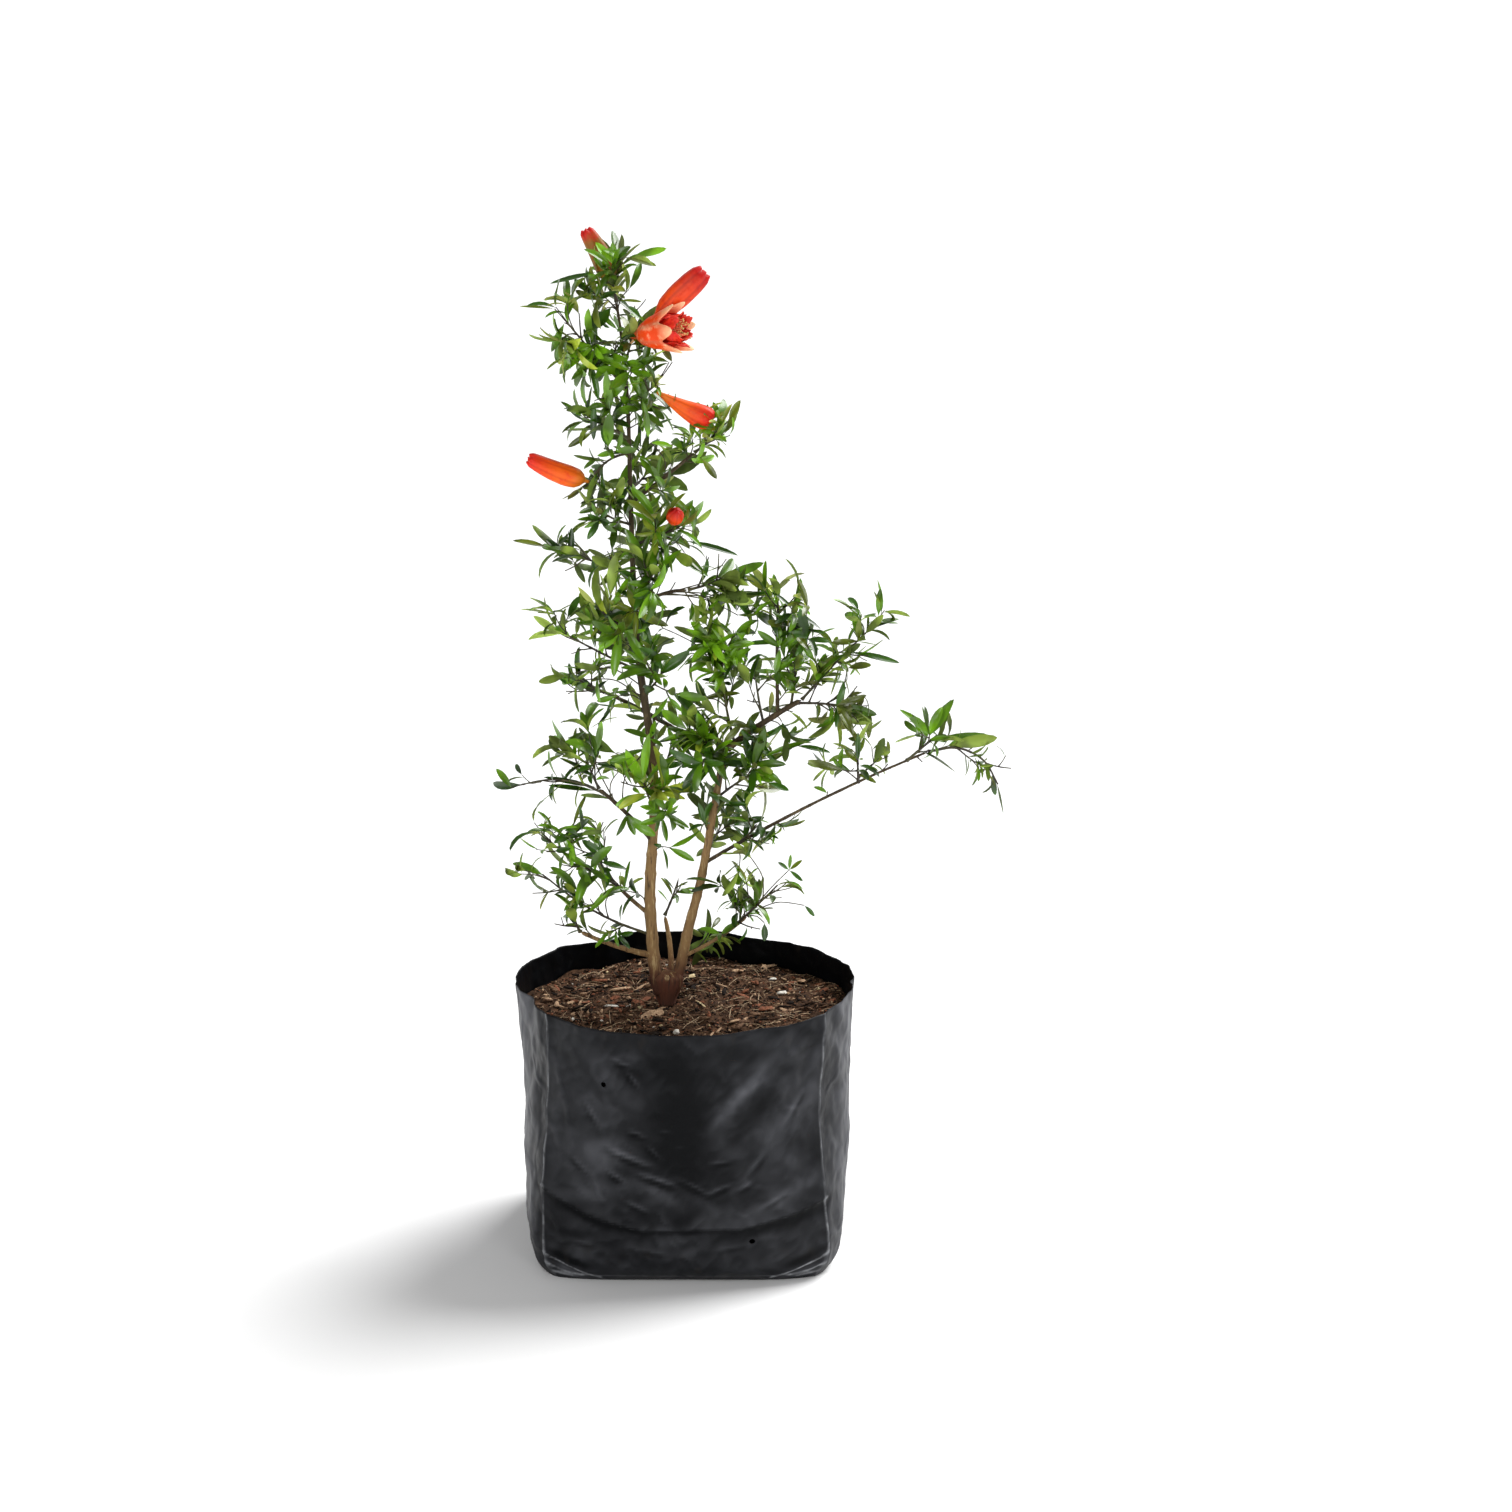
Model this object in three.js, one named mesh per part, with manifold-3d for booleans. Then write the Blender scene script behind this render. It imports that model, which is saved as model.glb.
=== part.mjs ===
// Young dwarf pomegranate in a black film nursery bag.
// Millimetres and degrees, +Z up. The origin is the centre of the bag's flat underside.
//
// The bag is a warped ring of film round a filling of potting mix. The trunk stands on the mix,
// runs up through the crown as its leader, and carries a second stem, a short inner stem and
// the boughs. Each spray of foliage is one solid: a twig with side shoots, leaves and buds.

import * as THREE from 'three';
import { mergeVertices } from 'three/addons/utils/BufferGeometryUtils.js';
import Module from 'manifold-3d';

const wasm = await Module();
wasm.setup();

// ---------------------------------------------------------------- driving sizes

const GAP = 0.3;                             // clearance between neighbouring solids
const LAY_FLAT = 350;                        // width of the empty bag pressed flat
const MOUTH_RADIUS = LAY_FLAT / Math.PI;     // the filled bag opens out to a circle
const BAG_HEIGHT = 178;
const FOOT_HALF_WIDTH = 104;
const FOOT_HALF_DEPTH = 90;
const FOOT_SQUARENESS = 5;                   // exponent of the squarish foot; 2 is a circle
const FOOT_ROUNDING = 8;                     // height over which the wall curls under
const FOOT_TUCK = 0.045;                     // share of the radius lost under that curl
const FILM = 0.8;                            // thickness of the film's solid
const BAG_SIDES = 33;
const FREEBOARD = 16;                        // bare film above the potting mix
const SOIL_TOP = BAG_HEIGHT - FREEBOARD;
const SOIL_SLUMP = 2;                        // the mix lies a little lower along the wall
const WALL_HEIGHTS = [FOOT_ROUNDING / 2, FOOT_ROUNDING * 1.5, 60, SOIL_TOP - SOIL_SLUMP, BAG_HEIGHT];
const DRAIN_RADIUS = 1.6;
const DRAIN_HOLES = [                        // heading round the bag and height of each hole
  { heading: -128, height: 112 }, { heading: -66, height: 26 },
  { heading: -12, height: 40 }, { heading: 38, height: 96 },
  { heading: 104, height: 30 }, { heading: 168, height: 62 },
];

const CROWN_FOOT = new THREE.Vector3(-12.5, -1, SOIL_TOP + GAP);
const CROWN_HEIGHT = 20;                     // foot of the trunk up to its fork
const CROWN_FOOT_RADIUS = 6.8;
const CROWN_FORK_WIDTH = 10.5;               // half width and half depth where the stems part
const CROWN_FORK_DEPTH = 6.5;

const LIMB_STEPS = 5;                        // pieces along a bough
const TWIG_SIDES = 3;
const TWIG_STEPS = 3;
const TWIG_BUTT = 1.35;
const TWIG_TIP = 1.05;
const SHOOT_LENGTH = 21;                     // side shoot of a spray
const SHOOT_RADIUS = 0.62;
const LEAF_LENGTH = 29;
const LEAF_WIDTH = 8;
const LEAF_SHOULDER = 0.36;                  // where along a leaf it is widest
const LEAF_FOLD = 1.3;                       // height of a leaf's edges above its keel
const LEAF_ROOT = 0.2;                       // length of leaf beyond the middle of its twig
const LEAF_SIZES = [1, 0.8, 0.64];           // a leaf is tried at these sizes, else left off
const LEAF_SPACING = 3.4;                    // distance along the twig from leaf to leaf
const SPRAY_TOLERANCES = [0.16, 0.13, 0.1, 0.07];  // detail kept where leaves meet twigs
const CORNER_STEPS = [0.001, 0.0001];        // a solid stays closed when rounded to these
const GOLDEN_ANGLE = 137.5;
const SPACE_MARGIN = 1.2;                    // clear band between the spaces of two sprays
const LIMB_MARGIN = 1.1;                     // clear band round trunk, stems and boughs
const TWIG_MARGIN = 1.6;                     // clear band round another spray's twig
const SHOOTS_FROM = 0.14;                    // share of a leading twig below its first side shoot
const SHOOTS_SPAN = 0.76;                    // share of it that bears them
const LEAFY_FROM = 0.2;                      // share of it that claims no space for leaves

// Stems pass through a few points; the first of the trunk is its flat cut foot.
const STEMS = {
  trunk: {
    butt: 4.6, tip: 0.9, sides: 8,
    through: [[-14, -1, 168], [-20, 0, 185], [-22, 2, 239], [-19, 4, 299], [-23, 1, 350],
      [-30, -2, 404], [-33, 0, 485], [-35, 2, 568], [-41, 0, 624]],
  },
  right_stem: {
    butt: 4.3, tip: 2.3, sides: 8,
    through: [[-10, 0, 170], [-4, 2, 184], [3, 4, 214], [10, 2, 246], [19, -3, 295], [27, -6, 340]],
  },
  inner_stem: {
    butt: 2.1, tip: 1.3, sides: 6,
    through: [[-12, 3, 174], [-12, 7, 185], [-14, 13, 202], [-16, 20, 216]],
  },
};

// A bough leaves its carrier `at` a share of the carrier's length. `heading` is the compass
// angle from +X towards +Y, `rise` the angle above level; `bend` is added to the rise and
// `sweep` to the heading on the way to the tip. `butt` and `tip` are its end radii.
function bough(on, at, heading, rise, bend, length, butt, tip, sweep = 0) {
  return { on, at, heading, rise, bend, length, butt, tip, sweep };
}

const BOUGHS = {
  low_left_bough: bough('trunk', 0.06, -155, 17, 14, 57, 2, 1.3),
  left_lower_bough: bough('trunk', 0.23, -152, 50, -8, 55, 1.7, 1.1),
  left_mid_bough: bough('trunk', 0.12, 167, 33, 18, 41, 1.5, 1.1),
  crossing_bough: bough('right_stem', 0.92, 162, 36, -14, 90, 2, 1.2, 10),
  right_bough: bough('right_stem', 0.97, -5, 40, -10, 61, 2.3, 1.6),
  right_upright: bough('right_bough', 0.7, 91, 76, 6, 57, 1.2, 1),
  long_bough: bough('right_stem', 0.52, -7, 33, -8, 167, 1.8, 1, -4),
  right_low_bough: bough('right_stem', 0.14, -14, 27, 16, 54, 1.3, 1),
  upper_right_bough: bough('trunk', 0.72, -9, 37, 4, 53, 1.3, 1),
  right_top_bough: bough('trunk', 0.57, -10, 42, -40, 38, 1.3, 1),
};

// A spray's leading twig is laid out as a bough is. `shoots` is the number of side shoots and
// `leaf` scales the leaves. The order of the rows sets each spray's seed.
function spray(on, at, heading, rise, bend, length, shoots, leaf) {
  return { on, at, heading, rise, bend, length, shoots, leaf };
}

const SPRAYS = {
  top_tuft: spray('trunk', 1, -136, 73, 10, 20, 2, 0.8),
  upper_left_spray: spray('trunk', 0.88, -162, 45, 6, 56, 3, 0.8),
  bloom_spray: spray('trunk', 0.91, -67, 52, 10, 24, 1, 0.7),
  bud_spray: spray('trunk', 0.86, -36, 24, 10, 27, 2, 0.9),
  upper_back_spray: spray('trunk', 0.94, 65, 19, 20, 29, 2, 0.9),
  left_high_spray: spray('trunk', 0.81, -159, 27, 16, 25, 3, 0.9),
  upper_right_spray: spray('upper_right_bough', 1, 1, 34, 14, 18, 3, 0.8),
  left_bud_spray: spray('trunk', 0.79, -149, 0, -60, 35, 2, 0.85),
  mid_back_spray: spray('trunk', 0.74, 65, 6, 26, 32, 3, 1),
  red_bud_spray: spray('trunk', 0.66, -27, 22, 4, 38, 3, 1),
  left_tall_spray: spray('trunk', 0.69, -147, 15, 20, 24, 3, 0.9),
  left_wing_spray: spray('trunk', 0.62, 176, 21, -10, 42, 3, 0.95),
  back_low_spray: spray('trunk', 0.64, 85, -3, 26, 38, 3, 1),
  front_core_spray: spray('trunk', 0.59, -59, 24, 26, 33, 3, 1),
  shoulder_spray: spray('trunk', 0.54, -159, 14, 36, 27, 3, 0.95),
  left_reach_spray: spray('trunk', 0.48, -177, 26, 4, 57, 4, 0.85),
  knuckle_spray: spray('crossing_bough', 1, -146, 24, 8, 21, 3, 0.85),
  back_mid_spray: spray('trunk', 0.52, 109, -12, 26, 38, 3, 1),
  front_mid_spray: spray('trunk', 0.45, -61, 22, 26, 33, 3, 0.95),
  right_top_spray: spray('right_top_bough', 1, 4, 11, 16, 25, 3, 1),
  right_crest_spray: spray('right_upright', 1, 55, 84, 4, 15, 3, 0.9),
  bright_spray: spray('right_bough', 0.14, -168, 74, 16, 60, 4, 1),
  right_crown_spray: spray('right_bough', 0.87, 75, 57, 8, 38, 4, 0.95),
  out_twig_spray: spray('right_bough', 1, 15, 47, -6, 66, 4, 0.8),
  right_wing_spray: spray('right_bough', 0.93, -20, 6, -10, 37, 4, 1),
  long_bough_spray: spray('long_bough', 0.7, -94, 52, 10, 22, 3, 0.8),
  far_leaf_spray: spray('long_bough', 0.91, -19, 43, 0, 27, 2, 1.1),
  far_end_spray: spray('long_bough', 1, 3, 24, -100, 57, 2, 0.65),
  centre_spray: spray('right_stem', 0.9, -114, 35, 20, 33, 4, 1),
  centre_left_spray: spray('trunk', 0.28, -107, 34, 24, 33, 3, 1),
  right_inner_spray: spray('right_stem', 0.78, -1, 41, -14, 38, 4, 0.95),
  right_low_spray: spray('long_bough', 0.14, -35, 34, 20, 25, 3, 0.95),
  right_foot_spray: spray('right_low_bough', 1, 30, 44, 30, 15, 2, 0.8),
  right_star_spray: spray('right_low_bough', 0.61, -32, 41, 6, 58, 3, 0.7),
  left_high_tuft: spray('left_lower_bough', 1, 164, 62, 10, 23, 3, 0.9),
  left_far_spray: spray('left_lower_bough', 0.9, -174, 33, -50, 56, 3, 0.75),
  left_mid_spray: spray('left_mid_bough', 1, 153, 55, 6, 24, 3, 0.85),
  left_outer_spray: spray('left_mid_bough', 0.73, -157, 32, 10, 60, 4, 0.85),
  left_low_spray: spray('trunk', 0.09, -165, 21, 24, 87, 4, 0.75),
  left_foot_spray: spray('low_left_bough', 1, -130, 52, 30, 15, 2, 0.8),
  inner_spray: spray('inner_stem', 1, 24, 62, 10, 25, 1, 0.65),
  foot_spray: spray('right_stem', 0.14, 48, 3, 16, 37, 2, 0.8),
  back_right_spray: spray('right_bough', 0.52, 97, 18, 20, 55, 4, 1),
  back_left_spray: spray('trunk', 0.34, 120, -6, 20, 38, 2, 1),
  back_foot_spray: spray('right_stem', 0.58, 73, 6, 20, 40, 3, 1),
};

// Buds and the open flower sit on a spray's leading twig. `radius` is the fattest part.
const BLOSSOM = {
  top_tuft: [{ at: 0.4, heading: 180, rise: 62, length: 38, radius: 5.4 }],
  bloom_spray: [
    { at: 1, heading: -8, rise: 16, length: 36, radius: 11 },
    { at: 0.8, heading: 8, rise: 43, length: 64, radius: 6.5 },
  ],
  bud_spray: [{ at: 1, heading: -8, rise: -29, length: 40, radius: 7 }],
  left_bud_spray: [{ at: 1, heading: 184, rise: 20, length: 43, radius: 7 }],
  red_bud_spray: [{ at: 0.85, heading: -75, rise: 45, length: 15, radius: 5.6 }],
};

const FINISH = {
  bag: new THREE.MeshStandardMaterial({ color: 0x25272b, roughness: 0.42, metalness: 0 }),
  soil: new THREE.MeshStandardMaterial({ color: 0x4b3126, roughness: 1, metalness: 0 }),
  bark: new THREE.MeshStandardMaterial({ color: 0x7b6244, roughness: 0.85, metalness: 0 }),
  foliage: new THREE.MeshStandardMaterial({ color: 0x4c7a26, roughness: 0.5, metalness: 0 }),
};

// ---------------------------------------------------------------- numbers and directions

const radians = THREE.MathUtils.degToRad;

// A repeatable stream of numbers from 0 to 1 (multiplicative congruential rule).
function drawStream(seed) {
  const modulus = 2147483647;
  let state = (seed * 7919 + 12345) % modulus;
  return () => {
    state = (state * 48271) % modulus;
    return state / modulus;
  };
}

function direction(heading, rise) {
  const a = radians(heading);
  const e = radians(rise);
  return new THREE.Vector3(Math.cos(a) * Math.cos(e), Math.sin(a) * Math.cos(e), Math.sin(e));
}

// The direction that leans from `along` by `splay` degrees, `round` degrees about it.
function lean(along, splay, round) {
  const side = new THREE.Vector3().crossVectors(along, new THREE.Vector3(0, 0, 1));
  if (side.length() < 0.05) side.set(1, 0, 0);
  side.normalize();
  const over = new THREE.Vector3().crossVectors(side, along).normalize();
  const s = radians(splay);
  const r = radians(round);
  return along.clone().multiplyScalar(Math.cos(s))
    .addScaledVector(side, Math.sin(s) * Math.cos(r))
    .addScaledVector(over, Math.sin(s) * Math.sin(r))
    .normalize();
}

// ---------------------------------------------------------------- routes of limbs

// Points of a limb that starts at `start` and turns evenly from its heading and rise.
function arcRoute(start, { heading, rise, bend = 0, sweep = 0, length }, steps) {
  const route = [start.clone()];
  for (let i = 0; i < steps; i++) {
    const share = (i + 0.5) / steps;
    const step = direction(heading + sweep * share, rise + bend * share);
    route.push(route[i].clone().addScaledVector(step, length / steps));
  }
  return route;
}

function stemRoute(through, stepsBetween) {
  const curve = new THREE.CatmullRomCurve3(through.map((p) => new THREE.Vector3(...p)), false, 'catmullrom');
  return curve.getPoints((through.length - 1) * stepsBetween);
}

// Point and direction at a share of a route's length.
function along(route, share) {
  const total = routeLength(route);
  let left = THREE.MathUtils.clamp(share, 0, 1) * total;
  for (let i = 1; i < route.length; i++) {
    const step = route[i].distanceTo(route[i - 1]);
    if (left <= step || i === route.length - 1) {
      const ahead = route[i].clone().sub(route[i - 1]).normalize();
      return { point: route[i - 1].clone().addScaledVector(ahead, Math.min(left, step)), ahead };
    }
    left -= step;
  }
  return null;
}

function routeLength(route) {
  let total = 0;
  for (let i = 1; i < route.length; i++) total += route[i].distanceTo(route[i - 1]);
  return total;
}

// Distance from a point to a route, less the limb's radius where one is given at each end.
function distanceToRoute(point, route, butt = 0, tip = 0) {
  const nearest = new THREE.Vector3();
  let best = Infinity;
  for (let i = 1; i < route.length; i++) {
    new THREE.Line3(route[i - 1], route[i]).closestPointToPoint(point, true, nearest);
    const radius = butt + (tip - butt) * (i - 1) / (route.length - 1);
    best = Math.min(best, nearest.distanceTo(point) - radius);
  }
  return best;
}

// ---------------------------------------------------------------- solids

// A closed three.js geometry as a solid, with its seams and poles welded.
function solid(geometry) {
  const bare = geometry.clone();
  bare.deleteAttribute('normal');
  bare.deleteAttribute('uv');
  const welded = mergeVertices(bare, 1e-4);
  const corner = welded.index.array;
  const kept = [];
  for (let i = 0; i < corner.length; i += 3) {
    const [a, b, c] = [corner[i], corner[i + 1], corner[i + 2]];
    if (a !== b && b !== c && c !== a) kept.push(a, b, c);
  }
  return new wasm.Manifold(new wasm.Mesh({
    numProp: 3,
    vertProperties: Float32Array.from(welded.attributes.position.array),
    triVerts: Uint32Array.from(kept),
  }));
}

function meshOf(name, shape, material) {
  const { vertProperties, triVerts } = shape.getMesh();
  const geometry = new THREE.BufferGeometry();
  geometry.setAttribute('position', new THREE.BufferAttribute(vertProperties, 3));
  geometry.setIndex(new THREE.BufferAttribute(triVerts, 1));
  geometry.computeVertexNormals();
  const mesh = new THREE.Mesh(geometry, material);
  mesh.name = name;
  return mesh;
}

// The largest body of a solid, without the loose scraps a cut can leave.
function mainBody(shape) {
  return shape.decompose().reduce((a, b) => (b.volume() > a.volume() ? b : a));
}

// True for one body that stays closed, with two faces at each edge, when its corners are
// rounded to `step`.
function staysClosed(shape, step) {
  const { vertProperties, triVerts } = shape.getMesh();
  const rounded = (c) => Math.round(c / step);
  const corner = (i) => Array.from(vertProperties.subarray(3 * i, 3 * i + 3), rounded).join();
  const facesAt = new Map();
  for (let i = 0; i < triVerts.length; i += 3) {
    const face = [0, 1, 2].map((k) => corner(triVerts[i + k]));
    if (new Set(face).size < 3) continue;
    face.forEach((from, k) => {
      const edge = [from, face[(k + 1) % 3]].sort().join(' ');
      facesAt.set(edge, (facesAt.get(edge) ?? 0) + 1);
    });
  }
  return [...facesAt.values()].every((count) => count === 2) && shape.decompose().length === 1;
}

const isSound = (shape) => CORNER_STEPS.every((step) => staysClosed(shape, step));

// Carries a geometry that stands along Y, from -0.5 to 0.5, onto a route. Its X and Z are
// scaled by the radius that `radiusAt` gives for a share of the length.
function bendAlong(geometry, route, radiusAt) {
  const curve = new THREE.CatmullRomCurve3(route, false, 'catmullrom');
  const frames = curve.computeFrenetFrames(60, false);
  const position = geometry.attributes.position;
  const at = new THREE.Vector3();
  for (let i = 0; i < position.count; i++) {
    const share = THREE.MathUtils.clamp(position.getY(i) + 0.5, 0, 1);
    const frame = Math.round(share * 60);
    const radius = radiusAt(share);
    curve.getPoint(share, at);
    at.addScaledVector(frames.normals[frame], position.getX(i) * radius);
    at.addScaledVector(frames.binormals[frame], -position.getZ(i) * radius);
    position.setXYZ(i, at.x, at.y, at.z);
  }
  return geometry;
}

// A tapering round limb on a route; `grow` thickens and lengthens it all round.
function limbSolid(route, butt, tip, sides, steps, grow = 0) {
  const path = route.map((p) => p.clone());
  if (grow > 0) {
    const last = path.length - 1;
    const ahead = path[last].clone().sub(path[last - 1]).normalize();
    path[last].addScaledVector(ahead, grow);
  }
  const flat = Math.cos(Math.PI / sides);      // a flat side lies inside the round radius
  const radiusAt = (share) => butt + (tip - butt) * share + grow / flat;
  return solid(bendAlong(new THREE.CylinderGeometry(1, 1, 1, sides, steps), path, radiusAt));
}

// The woody base of the plant: narrow at its flat cut foot, broad where the stems part.
function rootCrown(grow = 0) {
  const outline = new THREE.CylinderGeometry(1, 1, 1, 10, 4);
  const position = outline.attributes.position;
  for (let i = 0; i < position.count; i++) {
    const share = position.getY(i) + 0.5;
    const swell = Math.sin(Math.min(share * 1.25, 1) * Math.PI / 2);
    const shut = share > 0.99 ? 0.75 : 1;
    const width = (CROWN_FOOT_RADIUS + (CROWN_FORK_WIDTH - CROWN_FOOT_RADIUS) * swell) * shut + grow;
    const depth = (CROWN_FOOT_RADIUS + (CROWN_FORK_DEPTH - CROWN_FOOT_RADIUS) * swell) * shut + grow;
    position.setXYZ(i,
      CROWN_FOOT.x + position.getX(i) * width,
      CROWN_FOOT.y - position.getZ(i) * depth,
      CROWN_FOOT.z + share * (CROWN_HEIGHT + grow));
  }
  return solid(outline);
}

// ---------------------------------------------------------------- bag and potting mix

// Distance from the axis to the outside of the film, by heading and height.
function bagRadius(heading, height) {
  const share = THREE.MathUtils.clamp(height / BAG_HEIGHT, 0, 1);
  const slack = (1 - share) ** 2;
  const halfWidth = FOOT_HALF_WIDTH + (MOUTH_RADIUS - FOOT_HALF_WIDTH) * share;
  const halfDepth = MOUTH_RADIUS - (MOUTH_RADIUS - FOOT_HALF_DEPTH) * slack;
  const power = 2 + (FOOT_SQUARENESS - 2) * slack * (1 - share);
  const x = Math.abs(Math.cos(heading)) / halfWidth;
  const y = Math.abs(Math.sin(heading)) / halfDepth;
  const curl = height < FOOT_ROUNDING ? FOOT_TUCK * (1 - height / FOOT_ROUNDING) ** 2 : 0;
  return (1 - curl) / (x ** power + y ** power) ** (1 / power);
}

// Turns a profile round the axis and pulls the circle into the bag's plan shape.
function bagTurned(profile) {
  const turned = new THREE.LatheGeometry(profile, BAG_SIDES);
  turned.rotateX(Math.PI / 2);
  const position = turned.attributes.position;
  for (let i = 0; i < position.count; i++) {
    const [x, y, z] = [position.getX(i), position.getY(i), position.getZ(i)];
    const stretch = bagRadius(Math.atan2(y, x), z) / MOUTH_RADIUS;
    position.setXYZ(i, x * stretch, y * stretch, z);
  }
  return turned;
}

// The bag's inner space or its outer block: a filled shape between two heights.
function bagBlock(radius, floor, wallTop, crown = []) {
  const rings = [floor, ...WALL_HEIGHTS.filter((z) => z > floor && z < wallTop), wallTop];
  const profile = [
    new THREE.Vector2(0, floor),
    ...rings.map((z) => new THREE.Vector2(radius, z)),
    ...crown.map(([share, z]) => new THREE.Vector2(radius * share, z)),
  ];
  if (!crown.length) profile.push(new THREE.Vector2(0, wallTop));
  return solid(bagTurned(profile));
}

function buildBag() {
  const hollow = bagBlock(MOUTH_RADIUS - FILM, FILM, BAG_HEIGHT + FREEBOARD);
  const holes = DRAIN_HOLES.map(({ heading, height }) => {
    const punch = new THREE.CylinderGeometry(DRAIN_RADIUS, DRAIN_RADIUS, 12, 6);
    punch.rotateZ(Math.PI / 2);
    punch.translate(bagRadius(radians(heading), height), 0, height);
    punch.rotateZ(radians(heading));
    return solid(punch);
  });
  return bagBlock(MOUTH_RADIUS, 0, BAG_HEIGHT)
    .subtract(hollow)
    .subtract(wasm.Manifold.union(holes))
    .simplify(0.01);
}

function buildSoil() {
  const radius = MOUTH_RADIUS - FILM - GAP * 1.6;
  const crown = [[0.75, SOIL_TOP], [0, SOIL_TOP]];
  return bagBlock(radius, FILM + GAP, SOIL_TOP - SOIL_SLUMP, crown).simplify(0.01);
}

// ---------------------------------------------------------------- leaves and blossom

// A pointed blade of four faces: its keel runs straight from root to tip, and its two edges
// stand above the keel at the shoulder.
function leafSolid(root, ahead, face, length) {
  const width = new THREE.Vector3().crossVectors(ahead, face).normalize();
  const up = new THREE.Vector3().crossVectors(width, ahead).normalize();
  const size = length / LEAF_LENGTH;
  const corner = (share, side, height) => root.clone()
    .addScaledVector(ahead, share * length - LEAF_ROOT)
    .addScaledVector(width, side * LEAF_WIDTH / 2 * size)
    .addScaledVector(up, height * size);
  const blade = new THREE.BufferGeometry().setFromPoints([
    corner(0, 0, 0),
    corner(LEAF_SHOULDER, -1, LEAF_FOLD),
    corner(LEAF_SHOULDER, 1, LEAF_FOLD),
    corner(1, 0, 0),
  ]);
  blade.setIndex([0, 2, 1, 1, 2, 3, 0, 1, 3, 0, 3, 2]);
  return solid(blade);
}

// Points by which a leaf is tested against its neighbours.
function leafProbes(root, ahead, face, length) {
  const width = new THREE.Vector3().crossVectors(ahead, face).normalize();
  const half = LEAF_WIDTH / 2 * length / LEAF_LENGTH;
  const probes = [];
  for (let share = 0.2; share <= 1; share += 0.1) {
    const middle = root.clone().addScaledVector(ahead, share * length - LEAF_ROOT);
    const edge = half * Math.min(share / LEAF_SHOULDER, (1 - share) / (1 - LEAF_SHOULDER));
    probes.push(middle);
    probes.push(middle.clone().addScaledVector(width, edge));
    probes.push(middle.clone().addScaledVector(width, -edge));
  }
  return probes;
}

// A club-shaped bud on its stalk: slim at the root, fattest near its blunt end.
function budSolid(root, ahead, length, radius) {
  const profile = [[0, 0], [0.16, 0], [0.2, 0.3], [0.62, 0.55], [1, 0.82], [0.62, 1], [0, 1]]
    .map(([r, z]) => new THREE.Vector2(r * radius, z * length - LEAF_ROOT));
  const bud = new THREE.LatheGeometry(profile, 6);
  bud.applyQuaternion(new THREE.Quaternion().setFromUnitVectors(new THREE.Vector3(0, 1, 0), ahead));
  bud.translate(root.x, root.y, root.z);
  return solid(bud);
}

// ---------------------------------------------------------------- sprays

// Everything one spray would grow, before the test of its space: its twigs and its leaves.
function growSpray(row, seed, start) {
  const draw = drawStream(seed);
  const route = arcRoute(start, row, TWIG_STEPS);
  const size = LEAF_LENGTH * row.leaf;
  const shoots = [];
  const leaves = [];
  const tuft = (shoot, path, share, count, splay) => {
    const first = draw() * 360;
    for (let k = 0; k < count; k++) {
      const { point, ahead } = along(path, share - k * LEAF_SPACING / routeLength(path));
      const heading = lean(ahead, splay + 6 * k + (draw() - 0.5) * 24, first + k * GOLDEN_ANGLE);
      leaves.push({ shoot, root: point, ahead: heading, face: ahead, length: size * (0.8 + 0.4 * draw()) });
    }
  };
  for (let i = 0; i < row.shoots; i++) {
    const share = SHOOTS_FROM + SHOOTS_SPAN * (i + 0.5) / row.shoots;
    const { point, ahead } = along(route, share);
    const away = lean(ahead, 48 + 14 * draw(), i * GOLDEN_ANGLE + seed * 61 + 30 * draw());
    const rise = THREE.MathUtils.radToDeg(Math.asin(away.z));
    const heading = THREE.MathUtils.radToDeg(Math.atan2(away.y, away.x));
    const length = SHOOT_LENGTH * (0.75 + 0.4 * draw()) * (1.1 - 0.35 * share);
    const path = arcRoute(point, { heading, rise, bend: 16, length }, 2);
    shoots.push(path);
    tuft(i, path, 0.95, 3, 26);
  }
  tuft(-1, route, 0.985, 4, 20);
  tuft(-1, route, 0.55, 2, 50);
  const leafy = [0, 0.5, 1].map((s) => along(route, LEAFY_FROM + s * (1 - LEAFY_FROM)).point);
  return { route, leafy, shoots, leaves };
}

// The leaves of a spray that stay inside its space, each at the largest size that does.
function fittingLeaves(grown, staysInside) {
  const leaves = [];
  for (const { shoot, root, ahead, face, length } of grown.leaves) {
    const path = shoot < 0 ? null : grown.shoots[shoot];
    if (path && ![0.4, 0.7, 1].every((s) => staysInside(along(path, s).point))) continue;
    const size = LEAF_SIZES.find((tried) => leafProbes(root, ahead, face, tried * length).every(staysInside));
    if (size) leaves.push({ shoot, shape: leafSolid(root, ahead, face, size * length) });
  }
  return leaves;
}

// The spray's one solid, cut clear of its carrier. A side shoot without a leaf is left off, and
// so are leaves that would pinch the solid.
function buildSpray(row, grown, staysInside, carrier) {
  const leaves = fittingLeaves(grown, staysInside);
  const wood = [limbSolid(grown.route, TWIG_BUTT, TWIG_TIP, TWIG_SIDES, TWIG_STEPS)];
  grown.shoots.forEach((path, i) => {
    if (!leaves.some(({ shoot }) => shoot === i)) return;
    wood.push(limbSolid(path, SHOOT_RADIUS, SHOOT_RADIUS, TWIG_SIDES, 1));
  });
  for (const bud of row.blossom) {
    const { point } = along(grown.route, bud.at);
    wood.push(budSolid(point, direction(bud.heading, bud.rise), bud.length, bud.radius));
  }
  while (leaves.length) {
    const pieces = [...wood, ...leaves.map(({ shape }) => shape)];
    const joined = mainBody(wasm.Manifold.union(pieces).subtract(carrier));
    const shape = SPRAY_TOLERANCES.map((t) => joined.simplify(t)).find(isSound);
    if (shape) return shape;
    leaves.pop();
  }
  return mainBody(wasm.Manifold.union(wood).subtract(carrier));
}

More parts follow.
